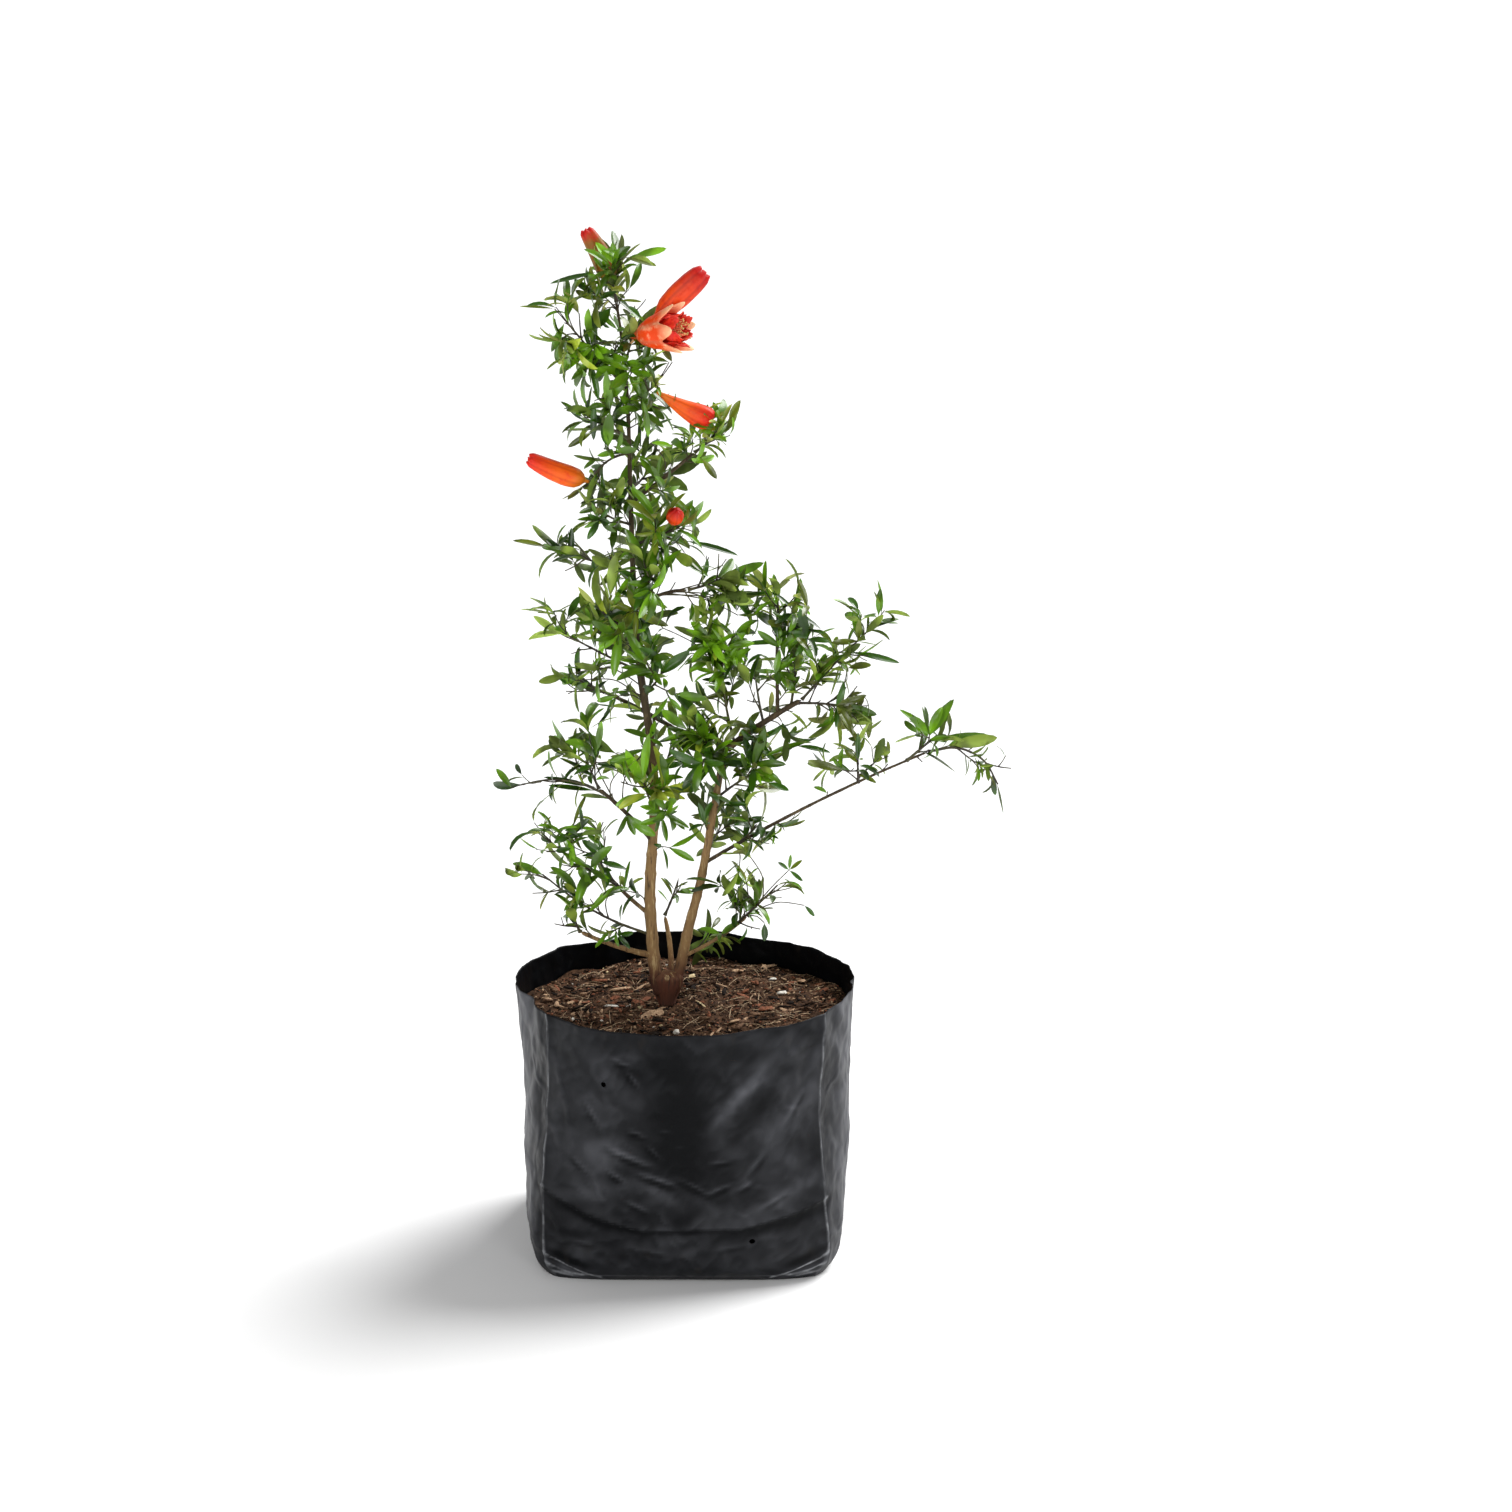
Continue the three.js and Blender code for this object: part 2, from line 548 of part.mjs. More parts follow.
// ---------------------------------------------------------------- assembly

const plant = new THREE.Group();
const routes = {};                           // route of every stem and bough by name
const radii = {};
const solids = {};

plant.add(meshOf('nursery_bag', buildBag(), FINISH.bag));
plant.add(meshOf('potting_mix', buildSoil(), FINISH.soil));

for (const [name, row] of Object.entries(STEMS)) {
  routes[name] = stemRoute(row.through, 2);
  radii[name] = row;
}
const limb = (name, grow = 0) => {
  const { butt, tip, sides = 6 } = radii[name];
  return limbSolid(routes[name], butt, tip, sides, STEMS[name] ? routes[name].length - 1 : LIMB_STEPS, grow);
};
const trunk = rootCrown().add(limb('trunk'));
const grownTrunk = () => rootCrown(GAP).add(limb('trunk', GAP));
solids.trunk = trunk;
solids.right_stem = mainBody(limb('right_stem').subtract(grownTrunk()));
solids.inner_stem = mainBody(limb('inner_stem').subtract(grownTrunk()).subtract(limb('right_stem', GAP)));

const grownLimb = (name) => (name === 'trunk' ? grownTrunk() : limb(name, GAP));
for (const [name, row] of Object.entries(BOUGHS)) {
  routes[name] = arcRoute(along(routes[row.on], row.at).point, row, LIMB_STEPS);
  radii[name] = row;
  solids[name] = mainBody(limb(name).subtract(grownLimb(row.on)));
}
for (const [name, shape] of Object.entries(solids)) plant.add(meshOf(name, shape, FINISH.bark));

const grown = {};
Object.entries(SPRAYS).forEach(([name, row], index) => {
  grown[name] = growSpray(row, index + 1, along(routes[row.on], row.at).point);
});

// A point lies in a spray's space when no other spray's twig is nearer, no limb is touched,
// and it is clear of the bag and the potting mix.
function spaceOf(name) {
  const own = grown[name].leafy;
  const others = Object.entries(grown).filter(([other]) => other !== name).map(([, other]) => other);
  return (point) => {
    const reach = Math.hypot(point.x, point.y);
    if (point.z < (reach > MOUTH_RADIUS - 8 ? BAG_HEIGHT + 3 : SOIL_TOP + 4)) return false;
    for (const [limbName, { butt, tip }] of Object.entries(radii)) {
      if (distanceToRoute(point, routes[limbName], butt, tip) < LIMB_MARGIN) return false;
    }
    const near = distanceToRoute(point, own) + SPACE_MARGIN;
    return others.every(({ route, leafy }) => distanceToRoute(point, leafy) > near
      && distanceToRoute(point, route, TWIG_BUTT, TWIG_TIP) > TWIG_MARGIN);
  };
}

for (const [name, row] of Object.entries(SPRAYS)) {
  const bearing = { ...row, blossom: BLOSSOM[name] ?? [] };
  const shape = buildSpray(bearing, grown[name], spaceOf(name), grownLimb(row.on));
  plant.add(meshOf(name, shape, FINISH.foliage));
}

export default plant;
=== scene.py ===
"""Young dwarf pomegranate in a black film nursery bag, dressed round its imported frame.

Sizes and rows are in millimetres and degrees, in the frame's own axes: +Z up, +X to the right
of the front view, the origin under the middle of the bag. Meshes are written in metres.
"""

import logging
import math
from dataclasses import dataclass, field
from enum import Enum
from typing import Callable, Iterable, Sequence

import bmesh
import bpy
import numpy as np
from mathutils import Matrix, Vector, noise

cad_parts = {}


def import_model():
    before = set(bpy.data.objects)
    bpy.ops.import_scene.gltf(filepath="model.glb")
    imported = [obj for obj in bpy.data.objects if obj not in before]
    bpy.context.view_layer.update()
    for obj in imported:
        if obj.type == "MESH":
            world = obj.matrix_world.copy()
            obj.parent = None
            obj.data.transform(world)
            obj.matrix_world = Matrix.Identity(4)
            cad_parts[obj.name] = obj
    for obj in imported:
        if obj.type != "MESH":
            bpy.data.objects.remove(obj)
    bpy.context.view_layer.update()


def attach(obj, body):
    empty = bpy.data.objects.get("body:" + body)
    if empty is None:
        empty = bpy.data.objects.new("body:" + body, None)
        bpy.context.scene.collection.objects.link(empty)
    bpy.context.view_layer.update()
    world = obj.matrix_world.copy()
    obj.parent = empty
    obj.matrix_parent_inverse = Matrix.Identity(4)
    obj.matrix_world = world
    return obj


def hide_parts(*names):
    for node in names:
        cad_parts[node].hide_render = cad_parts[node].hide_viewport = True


LOG = logging.getLogger("pomegranate")

MM = 0.001
BODY = "root"
Z_AXIS = Vector((0.0, 0.0, 1.0))
GOLDEN_ANGLE = 137.5
VIEW_DIP = 14.2
VIEW_CENTRE = 330.0
VIEW_ACROSS = 46.5
VIEW_REACH = 2160.0
CLEARING_LAP = 0.5
BED_TOP = 162.0
LEAF_SEEDS = 4000
FINER_SEEDS = 8000
SPUR_SEEDS = 12000
TUFT_SEEDS = 14000
LONE_SEED = 16000

Colour = tuple[float, float, float, float]
Place = Callable[[np.ndarray, np.ndarray], np.ndarray]


def paint(red: float, green: float, blue: float) -> Colour:
    """Turns a screen colour from 0 to 255 into the linear colour that a shader takes."""
    linear = []
    for channel in (red, green, blue):
        c = channel / 255
        linear.append(c / 12.92 if c <= 0.04045 else ((c + 0.055) / 1.055) ** 2.4)
    return (*linear, 1.0)


# ------------------------------------------------------------------ draws and directions


class DrawStream:
    """A repeatable stream of numbers from 0 to 1 (multiplicative congruential rule)."""

    MODULUS = 2147483647
    FACTOR = 48271

    def __init__(self, seed: int) -> None:
        """Starts the stream of one seed."""
        self.state = (seed * 7919 + 12345) % self.MODULUS

    def __call__(self) -> float:
        """Returns the next number."""
        self.state = self.state * self.FACTOR % self.MODULUS
        return self.state / self.MODULUS

    def between(self, low: float, high: float) -> float:
        """Returns the next number, carried onto a range."""
        return low + (high - low) * self()


def direction(heading: float, rise: float) -> Vector:
    """Returns the unit vector of a compass heading and a rise above level, in degrees."""
    a = math.radians(heading)
    e = math.radians(rise)
    return Vector((math.cos(a) * math.cos(e), math.sin(a) * math.cos(e), math.sin(e)))


def frame_of(ahead: Vector) -> tuple[Vector, Vector]:
    """Returns two unit vectors square to a direction and to each other."""
    side = ahead.cross(Z_AXIS)
    if side.length < 0.05:
        side = Vector((1.0, 0.0, 0.0))
    side.normalize()
    return side, side.cross(ahead).normalized()


def lean(ahead: Vector, splay: float, turn: float) -> Vector:
    """Returns the unit vector that leans from another one.

    Args:
        ahead: the direction it leans from.
        splay: how far it leans, in degrees.
        turn: the side it leans to, in degrees about `ahead`.
    """
    side, over = frame_of(ahead)
    s = math.radians(splay)
    r = math.radians(turn)
    leaning = ahead * math.cos(s) + side * (math.sin(s) * math.cos(r))
    return (leaning + over * (math.sin(s) * math.sin(r))).normalized()


class Route:
    """A limb's middle line: points joined by straight steps."""

    def __init__(self, points: Sequence[Vector]) -> None:
        """Takes the points from butt to tip."""
        self.points = [p.copy() for p in points]
        self.steps = [b - a for a, b in zip(self.points, self.points[1:])]
        self.length = sum(step.length for step in self.steps)

    @classmethod
    def arc(cls, start: Vector, heading: float, rise: float, bend: float, sweep: float,
            length: float, steps: int) -> "Route":
        """Lays out a limb that turns evenly from its heading and rise.

        Args:
            start: its first point.
            heading: the compass angle it starts at.
            rise: the angle above level it starts at.
            bend: what is added to the rise on the way to the tip.
            sweep: what is added to the heading on the way to the tip.
            length: its length.
            steps: the number of straight steps.

        Returns:
            The route.
        """
        points = [start.copy()]
        for i in range(steps):
            share = (i + 0.5) / steps
            step = direction(heading + sweep * share, rise + bend * share)
            points.append(points[-1] + step * (length / steps))
        return cls(points)

    @classmethod
    def shoot(cls, start: Vector, away: Vector, bend: float, length: float) -> "Route":
        """Lays out a short twig that sets off along a unit vector and bends up."""
        rise = math.degrees(math.asin(away.z))
        heading = math.degrees(math.atan2(away.y, away.x))
        return cls.arc(start, heading, rise, bend, 0, length, 2)

    @classmethod
    def through(cls, knots: Sequence[Sequence[float]], between: int) -> "Route":
        """Lays a Catmull-Rom curve through knots.

        Args:
            knots: the points that it passes.
            between: the number of steps from knot to knot.

        Returns:
            The route.
        """
        line = [Vector(k) for k in knots]
        ends = [line[0] * 2 - line[1], *line, line[-1] * 2 - line[-2]]
        points = []
        for a, b, c, d in zip(ends, ends[1:], ends[2:], ends[3:]):
            for i in range(between):
                t = i / between
                points.append(0.5 * (2 * b + (c - a) * t + (2 * a - 5 * b + 4 * c - d) * t ** 2
                                     + (3 * b - a - 3 * c + d) * t ** 3))
        points.append(line[-1])
        return cls(points)

    def along(self, share: float) -> tuple[Vector, Vector]:
        """Returns the point and the direction at a share of the length."""
        left = min(max(share, 0.0), 1.0) * self.length
        for i, step in enumerate(self.steps):
            if left <= step.length or i == len(self.steps) - 1:
                ahead = step.normalized()
                return self.points[i] + ahead * min(left, step.length), ahead
            left -= step.length
        raise ValueError("a route needs two points")

    def smooth(self, between: int) -> "Route":
        """Returns the route with its corners rounded."""
        return Route.through([tuple(p) for p in self.points], between)


# ------------------------------------------------------------------ rows of the plant


def rows(kind: type, *lines: tuple) -> tuple:
    """Returns one object of a kind for each line of its values."""
    return tuple(kind(*line) for line in lines)


class LeafTint(Enum):
    """The leaf colours that are dealt out over the crown."""

    DEEP = "deep"
    MID = "mid"
    BRIGHT = "bright"
    LIME = "lime"
    OLIVE = "olive"


@dataclass(frozen=True)
class StemRow:
    """A stem that passes through a few points, with its end radii."""

    butt: float
    tip: float
    through: tuple[tuple[float, float, float], ...]


@dataclass(frozen=True)
class BoughRow:
    """A bough: its carrier, its place on it, its course and its end radii."""

    on: str
    at: float
    heading: float
    rise: float
    bend: float
    length: float
    butt: float
    tip: float
    sweep: float = 0.0


@dataclass(frozen=True)
class SprayRow:
    """A spray: its carrier, the course of its leading twig, its side shoots and leaves."""

    on: str
    at: float
    heading: float
    rise: float
    bend: float
    length: float
    shoots: int
    leaf: float
    tint: LeafTint


STEMS = {
    "trunk": StemRow(4.3, 0.85, (
        (-14.5, -1, 168), (-20, 0, 185), (-23, 2, 239), (-19.5, 4, 299), (-23, 1, 350),
        (-30, -2, 404), (-33, 0, 485), (-35, 2, 568), (-41, 0, 624))),
    "right_stem": StemRow(3.8, 2.1, (
        (-10, 0, 170), (-4, 2, 184), (2.5, 4, 214), (10.5, 2, 246), (19, -3, 295),
        (27, -6, 340))),
    "inner_stem": StemRow(2.1, 1.3, (
        (-11, 3, 174), (-9.5, 7, 185), (-11, 13, 202), (-14, 20, 216))),
}

BOUGHS = {name: BoughRow(*row) for name, row in {
    "low_left_bough": ("trunk", 0.06, -155, 17, 14, 57, 2, 1.3),
    "left_lower_bough": ("trunk", 0.23, -152, 50, -8, 55, 1.7, 1.1),
    "left_mid_bough": ("trunk", 0.12, 167, 33, 18, 41, 1.5, 1.1),
    "crossing_bough": ("right_stem", 0.92, 162, 36, -14, 90, 2, 1.2, 10),
    "right_bough": ("right_stem", 0.97, -5, 40, -10, 61, 2.3, 1.6),
    "right_upright": ("right_bough", 0.7, 91, 76, 6, 57, 1.2, 1),
    "long_bough": ("right_stem", 0.52, -7, 33, -8, 167, 1.25, 0.75, -4),
    "right_low_bough": ("right_stem", 0.14, -14, 27, 16, 54, 1.3, 1),
    "upper_right_bough": ("trunk", 0.72, -9, 37, 4, 53, 1.3, 1),
    "right_top_bough": ("trunk", 0.57, -10, 42, -40, 38, 1.3, 1),
}.items()}

DEEP, MID, BRIGHT, LIME, OLIVE = LeafTint

SPRAYS = {name: SprayRow(*row) for name, row in {
    "top_tuft": ("trunk", 1, -136, 73, 10, 20, 2, 0.8, MID),
    "upper_left_spray": ("trunk", 0.88, -162, 45, 6, 56, 3, 0.8, MID),
    "bloom_spray": ("trunk", 0.91, -67, 52, 10, 24, 1, 0.7, OLIVE),
    "bud_spray": ("trunk", 0.86, -36, 24, 10, 27, 2, 0.9, MID),
    "upper_back_spray": ("trunk", 0.94, 65, 19, 20, 29, 2, 0.9, DEEP),
    "left_high_spray": ("trunk", 0.81, -159, 27, 16, 25, 3, 0.9, MID),
    "upper_right_spray": ("upper_right_bough", 1, 1, 34, 14, 18, 3, 0.8, BRIGHT),
    "left_bud_spray": ("trunk", 0.79, -149, 0, -60, 35, 2, 0.85, DEEP),
    "mid_back_spray": ("trunk", 0.74, 65, 6, 26, 32, 3, 1, DEEP),
    "red_bud_spray": ("trunk", 0.66, -27, 22, 4, 38, 3, 1, MID),
    "left_tall_spray": ("trunk", 0.69, -147, 15, 20, 24, 3, 0.9, MID),
    "left_wing_spray": ("trunk", 0.62, 176, 21, -10, 42, 3, 0.95, DEEP),
    "back_low_spray": ("trunk", 0.64, 85, -3, 26, 38, 3, 1, DEEP),
    "front_core_spray": ("trunk", 0.59, -59, 24, 26, 33, 3, 1, MID),
    "shoulder_spray": ("trunk", 0.54, -159, 14, 36, 27, 3, 0.95, LIME),
    "left_reach_spray": ("trunk", 0.48, -177, 26, 4, 57, 4, 0.85, BRIGHT),
    "knuckle_spray": ("crossing_bough", 1, -146, 24, 8, 21, 3, 0.85, MID),
    "back_mid_spray": ("trunk", 0.52, 109, -12, 26, 38, 3, 1, DEEP),
    "front_mid_spray": ("trunk", 0.45, -61, 22, 26, 33, 3, 0.95, MID),
    "right_top_spray": ("right_top_bough", 1, 4, 11, 16, 25, 3, 1, MID),
    "right_crest_spray": ("right_upright", 1, 55, 84, 4, 15, 3, 0.9, LIME),
    "bright_spray": ("right_bough", 0.14, -168, 74, 16, 60, 4, 0.85, MID),
    "right_crown_spray": ("right_bough", 0.87, 75, 57, 8, 38, 4, 0.95, MID),
    "out_twig_spray": ("right_bough", 1, 15, 47, -6, 66, 4, 0.8, MID),
    "right_wing_spray": ("right_bough", 0.93, -20, 6, -10, 37, 4, 0.8, OLIVE),
    "long_bough_spray": ("long_bough", 0.7, -94, 52, 10, 22, 3, 0.8, OLIVE),
    "far_leaf_spray": ("long_bough", 0.91, -19, 43, 0, 27, 2, 1.1, MID),
    "far_end_spray": ("long_bough", 1, 3, 24, -100, 57, 2, 0.65, DEEP),
    "centre_spray": ("right_stem", 0.9, -114, 35, 20, 33, 4, 1, MID),
    "centre_left_spray": ("trunk", 0.28, -107, 34, 24, 33, 3, 1, LIME),
    "right_inner_spray": ("right_stem", 0.78, -1, 41, -14, 38, 4, 0.95, OLIVE),
    "right_low_spray": ("long_bough", 0.14, -35, 34, 20, 25, 3, 0.95, DEEP),
    "right_foot_spray": ("right_low_bough", 1, 30, 44, 30, 15, 2, 0.8, MID),
    "right_star_spray": ("right_low_bough", 0.61, -32, 41, 6, 58, 3, 0.7, MID),
    "left_high_tuft": ("left_lower_bough", 1, 164, 62, 10, 23, 3, 0.9, DEEP),
    "left_far_spray": ("left_lower_bough", 0.9, -174, 33, -50, 56, 3, 0.75, DEEP),
    "left_mid_spray": ("left_mid_bough", 1, 153, 55, 6, 24, 3, 0.85, MID),
    "left_outer_spray": ("left_mid_bough", 0.73, -157, 32, 10, 60, 4, 0.85, MID),
    "left_low_spray": ("trunk", 0.09, -165, 21, 24, 87, 4, 0.75, OLIVE),
    "left_foot_spray": ("low_left_bough", 1, -130, 52, 30, 15, 2, 0.8, DEEP),
    "inner_spray": ("inner_stem", 1, 24, 62, 10, 25, 1, 0.65, LIME),
    "foot_spray": ("right_stem", 0.14, 48, 3, 16, 37, 2, 0.8, DEEP),
    "back_right_spray": ("right_bough", 0.52, 97, 18, 20, 55, 4, 1, DEEP),
    "back_left_spray": ("trunk", 0.34, 120, -6, 20, 38, 2, 1, DEEP),
    "back_foot_spray": ("right_stem", 0.58, 73, 6, 20, 40, 3, 1, DEEP),
}.items()}

TINT_DEAL = {
    DEEP: ((DEEP, 0.62), (MID, 0.34), (OLIVE, 0.04)),
    MID: ((MID, 0.56), (DEEP, 0.22), (BRIGHT, 0.18), (OLIVE, 0.04)),
    BRIGHT: ((BRIGHT, 0.58), (MID, 0.24), (LIME, 0.18)),
    LIME: ((LIME, 0.42), (BRIGHT, 0.34), (MID, 0.24)),
    OLIVE: ((OLIVE, 0.34), (MID, 0.4), (DEEP, 0.26)),
}


@dataclass(frozen=True)
class TuftRow:
    """A short leafy twig from the nearest point of a limb or a spray out to its own tip."""

    on: str
    tip: tuple[float, float, float]
    leaf: float
    tint: LeafTint
    count: int = 6


TUFTS = rows(
    TuftRow,
    ("trunk", (-56, -4, 630), 0.8, MID), ("trunk", (-52, -2, 617), 0.8, DEEP),
    ("top_tuft", (-61, -6, 640), 0.8, OLIVE, 4),
    ("upper_left_spray", (-75, -12, 601), 0.75, BRIGHT), ("trunk", (-61, -8, 583), 0.85, MID),
    ("upper_left_spray", (-78, -14, 622), 0.85, DEEP, 2),
    ("top_tuft", (-31, -6, 652), 0.75, MID, 3), ("trunk", (-25, -8, 557), 0.8, MID),
    ("trunk", (-12, -14, 506), 0.85, BRIGHT), ("left_wing_spray", (-81, 0, 467), 0.85, DEEP),
    ("left_reach_spray", (-83, 0, 425), 0.75, BRIGHT),
    ("right_top_bough", (18, -6, 434), 0.95, MID), ("right_top_bough", (25, -8, 450), 0.9, MID),
    ("bright_spray", (12, 2, 408), 0.95, MID), ("bright_spray", (14, -6, 420), 0.9, BRIGHT),
    ("right_top_bough", (35, -4, 424), 0.85, DEEP), ("right_upright", (71, -6, 427), 0.85, MID),
    ("out_twig_spray", (113, 0, 419), 0.7, MID), ("out_twig_spray", (129, 2, 426), 0.85, MID),
    ("right_bough", (66, -12, 347), 0.9, MID), ("right_bough", (45, -10, 345), 0.85, DEEP),
    ("out_twig_spray", (102, -4, 392), 0.8, OLIVE),
    ("left_outer_spray", (-97, -14, 289), 0.75, BRIGHT),
    ("left_low_spray", (-107, -16, 258), 0.65, MID), ("trunk", (-11, -8, 295), 0.9, MID),
    ("trunk", (-8, -8, 270), 0.8, DEEP), ("trunk", (-41, -6, 241), 0.8, MID),
    ("right_low_bough", (23, -8, 246), 0.9, MID), ("right_low_bough", (32, -10, 231), 0.9, DEEP),
    ("right_star_spray", (41, -12, 268), 0.7, MID), ("long_bough", (65, -8, 282), 0.75, OLIVE),
    ("left_lower_bough", (-62, -10, 352), 0.8, MID),
    ("far_leaf_spray", (147, -14, 361), 1.0, MID, 2), ("trunk", (-33, -6, 632), 0.8, LIME, 4),
    ("trunk", (-52, -8, 626), 0.95, OLIVE), ("upper_left_spray", (-71, -12, 624), 0.8, OLIVE, 4),
    ("upper_left_spray", (-69, -10, 599), 1, BRIGHT), ("trunk", (-56, -12, 598), 1.05, BRIGHT),
    ("trunk", (-44, -8, 591), 0.9, DEEP, 4), ("bud_spray", (-18, -10, 573), 0.45, LIME),
    ("trunk", (-32, -14, 582), 0.95, MID, 4), ("upper_right_bough", (6, -6, 539), 0.75, DEEP),
    ("upper_right_bough", (1, -6, 531), 0.7, MID, 4),
    ("left_reach_spray", (-74, -2, 423), 0.75, MID, 4), ("trunk", (-76, -6, 385), 0.9, LIME),
    ("trunk", (-70, -8, 382), 0.85, MID, 4), ("trunk", (-44, -6, 371), 0.7, DEEP, 4),
    ("bright_spray", (-14, -4, 416), 0.85, DEEP, 4), ("bright_spray", (4, -4, 399), 0.8, MID, 4),
    ("right_top_bough", (29, -8, 435), 0.9, MID), ("right_upright", (68, -8, 418), 0.85, OLIVE),
    ("right_crest_spray", (78, -4, 434), 0.75, LIME, 4),
    ("right_top_bough", (46, -4, 426), 0.85, DEEP, 4),
    ("out_twig_spray", (112, -2, 407), 0.75, OLIVE, 3),
    ("right_wing_spray", (99, -10, 358), 0.85, OLIVE),
    ("right_wing_spray", (88, -8, 369), 0.8, DEEP, 4),
    ("right_wing_spray", (117, -12, 347), 0.8, MID, 4),
    ("long_bough_spray", (110, -14, 336), 0.85, DEEP),
    ("long_bough_spray", (132, -12, 333), 0.6, OLIVE, 4),
    ("long_bough_spray", (92, -14, 327), 0.6, DEEP, 4),
    ("left_lower_bough", (-40, -10, 325), 0.7, LIME, 4),
    ("left_lower_bough", (-37, -10, 293), 0.75, MID, 4),
    ("left_outer_spray", (-96, -14, 283), 0.8, MID),
    ("left_mid_bough", (-50, -10, 264), 0.8, DEEP, 4),
    ("left_low_spray", (-51, -12, 242), 0.85, MID),
    ("left_low_spray", (-107, -16, 255), 0.75, BRIGHT), ("trunk", (-14, -10, 292), 0.75, MID, 4),
    ("right_star_spray", (33, -12, 238), 0.85, MID, 4),
    ("right_star_spray", (49, -12, 236), 0.75, DEEP, 4),
    ("long_bough", (59, -8, 284), 0.75, MID, 4),
    ("right_inner_spray", (44, -12, 327), 0.85, MID, 4),
    ("bright_spray", (28, -14, 405), 0.85, BRIGHT, 8),
    ("bright_spray", (20, -12, 398), 0.75, BRIGHT, 6),
    ("right_inner_spray", (11, -20, 347), 0.8, BRIGHT, 7),
    ("bright_spray", (19, -16, 408), 0.9, BRIGHT, 7),
    ("bright_spray", (33, -16, 414), 0.8, MID, 7),
    ("right_inner_spray", (3, -20, 352), 0.8, MID, 7),
    ("right_upright", (62, -10, 404), 0.8, MID, 6),
    ("right_upright", (60, -8, 388), 0.75, OLIVE, 6), ("trunk", (-30, -12, 428), 0.9, MID, 6),
    ("trunk", (-18, -12, 448), 0.85, DEEP, 6), ("left_outer_spray", (-76, -15, 280), 0.85, MID, 7),
    ("left_outer_spray", (-85, -14, 283), 0.75, BRIGHT, 5),
    ("left_outer_spray", (-66, -15, 282), 0.75, DEEP, 5),
    ("right_low_spray", (35, -12, 253), 0.75, MID, 5),
    ("right_crown_spray", (80, -12, 432), 0.75, OLIVE, 5),
    ("right_crown_spray", (80, -12, 411), 0.75, MID, 5),
)


@dataclass(frozen=True)
class LoneLeaf:
    """A leaf that stands out by itself: its carrier, its root and its tip."""

    on: str
    root: tuple[float, float, float]
    tip: tuple[float, float, float]
    tint: LeafTint
    width: float = 4.8


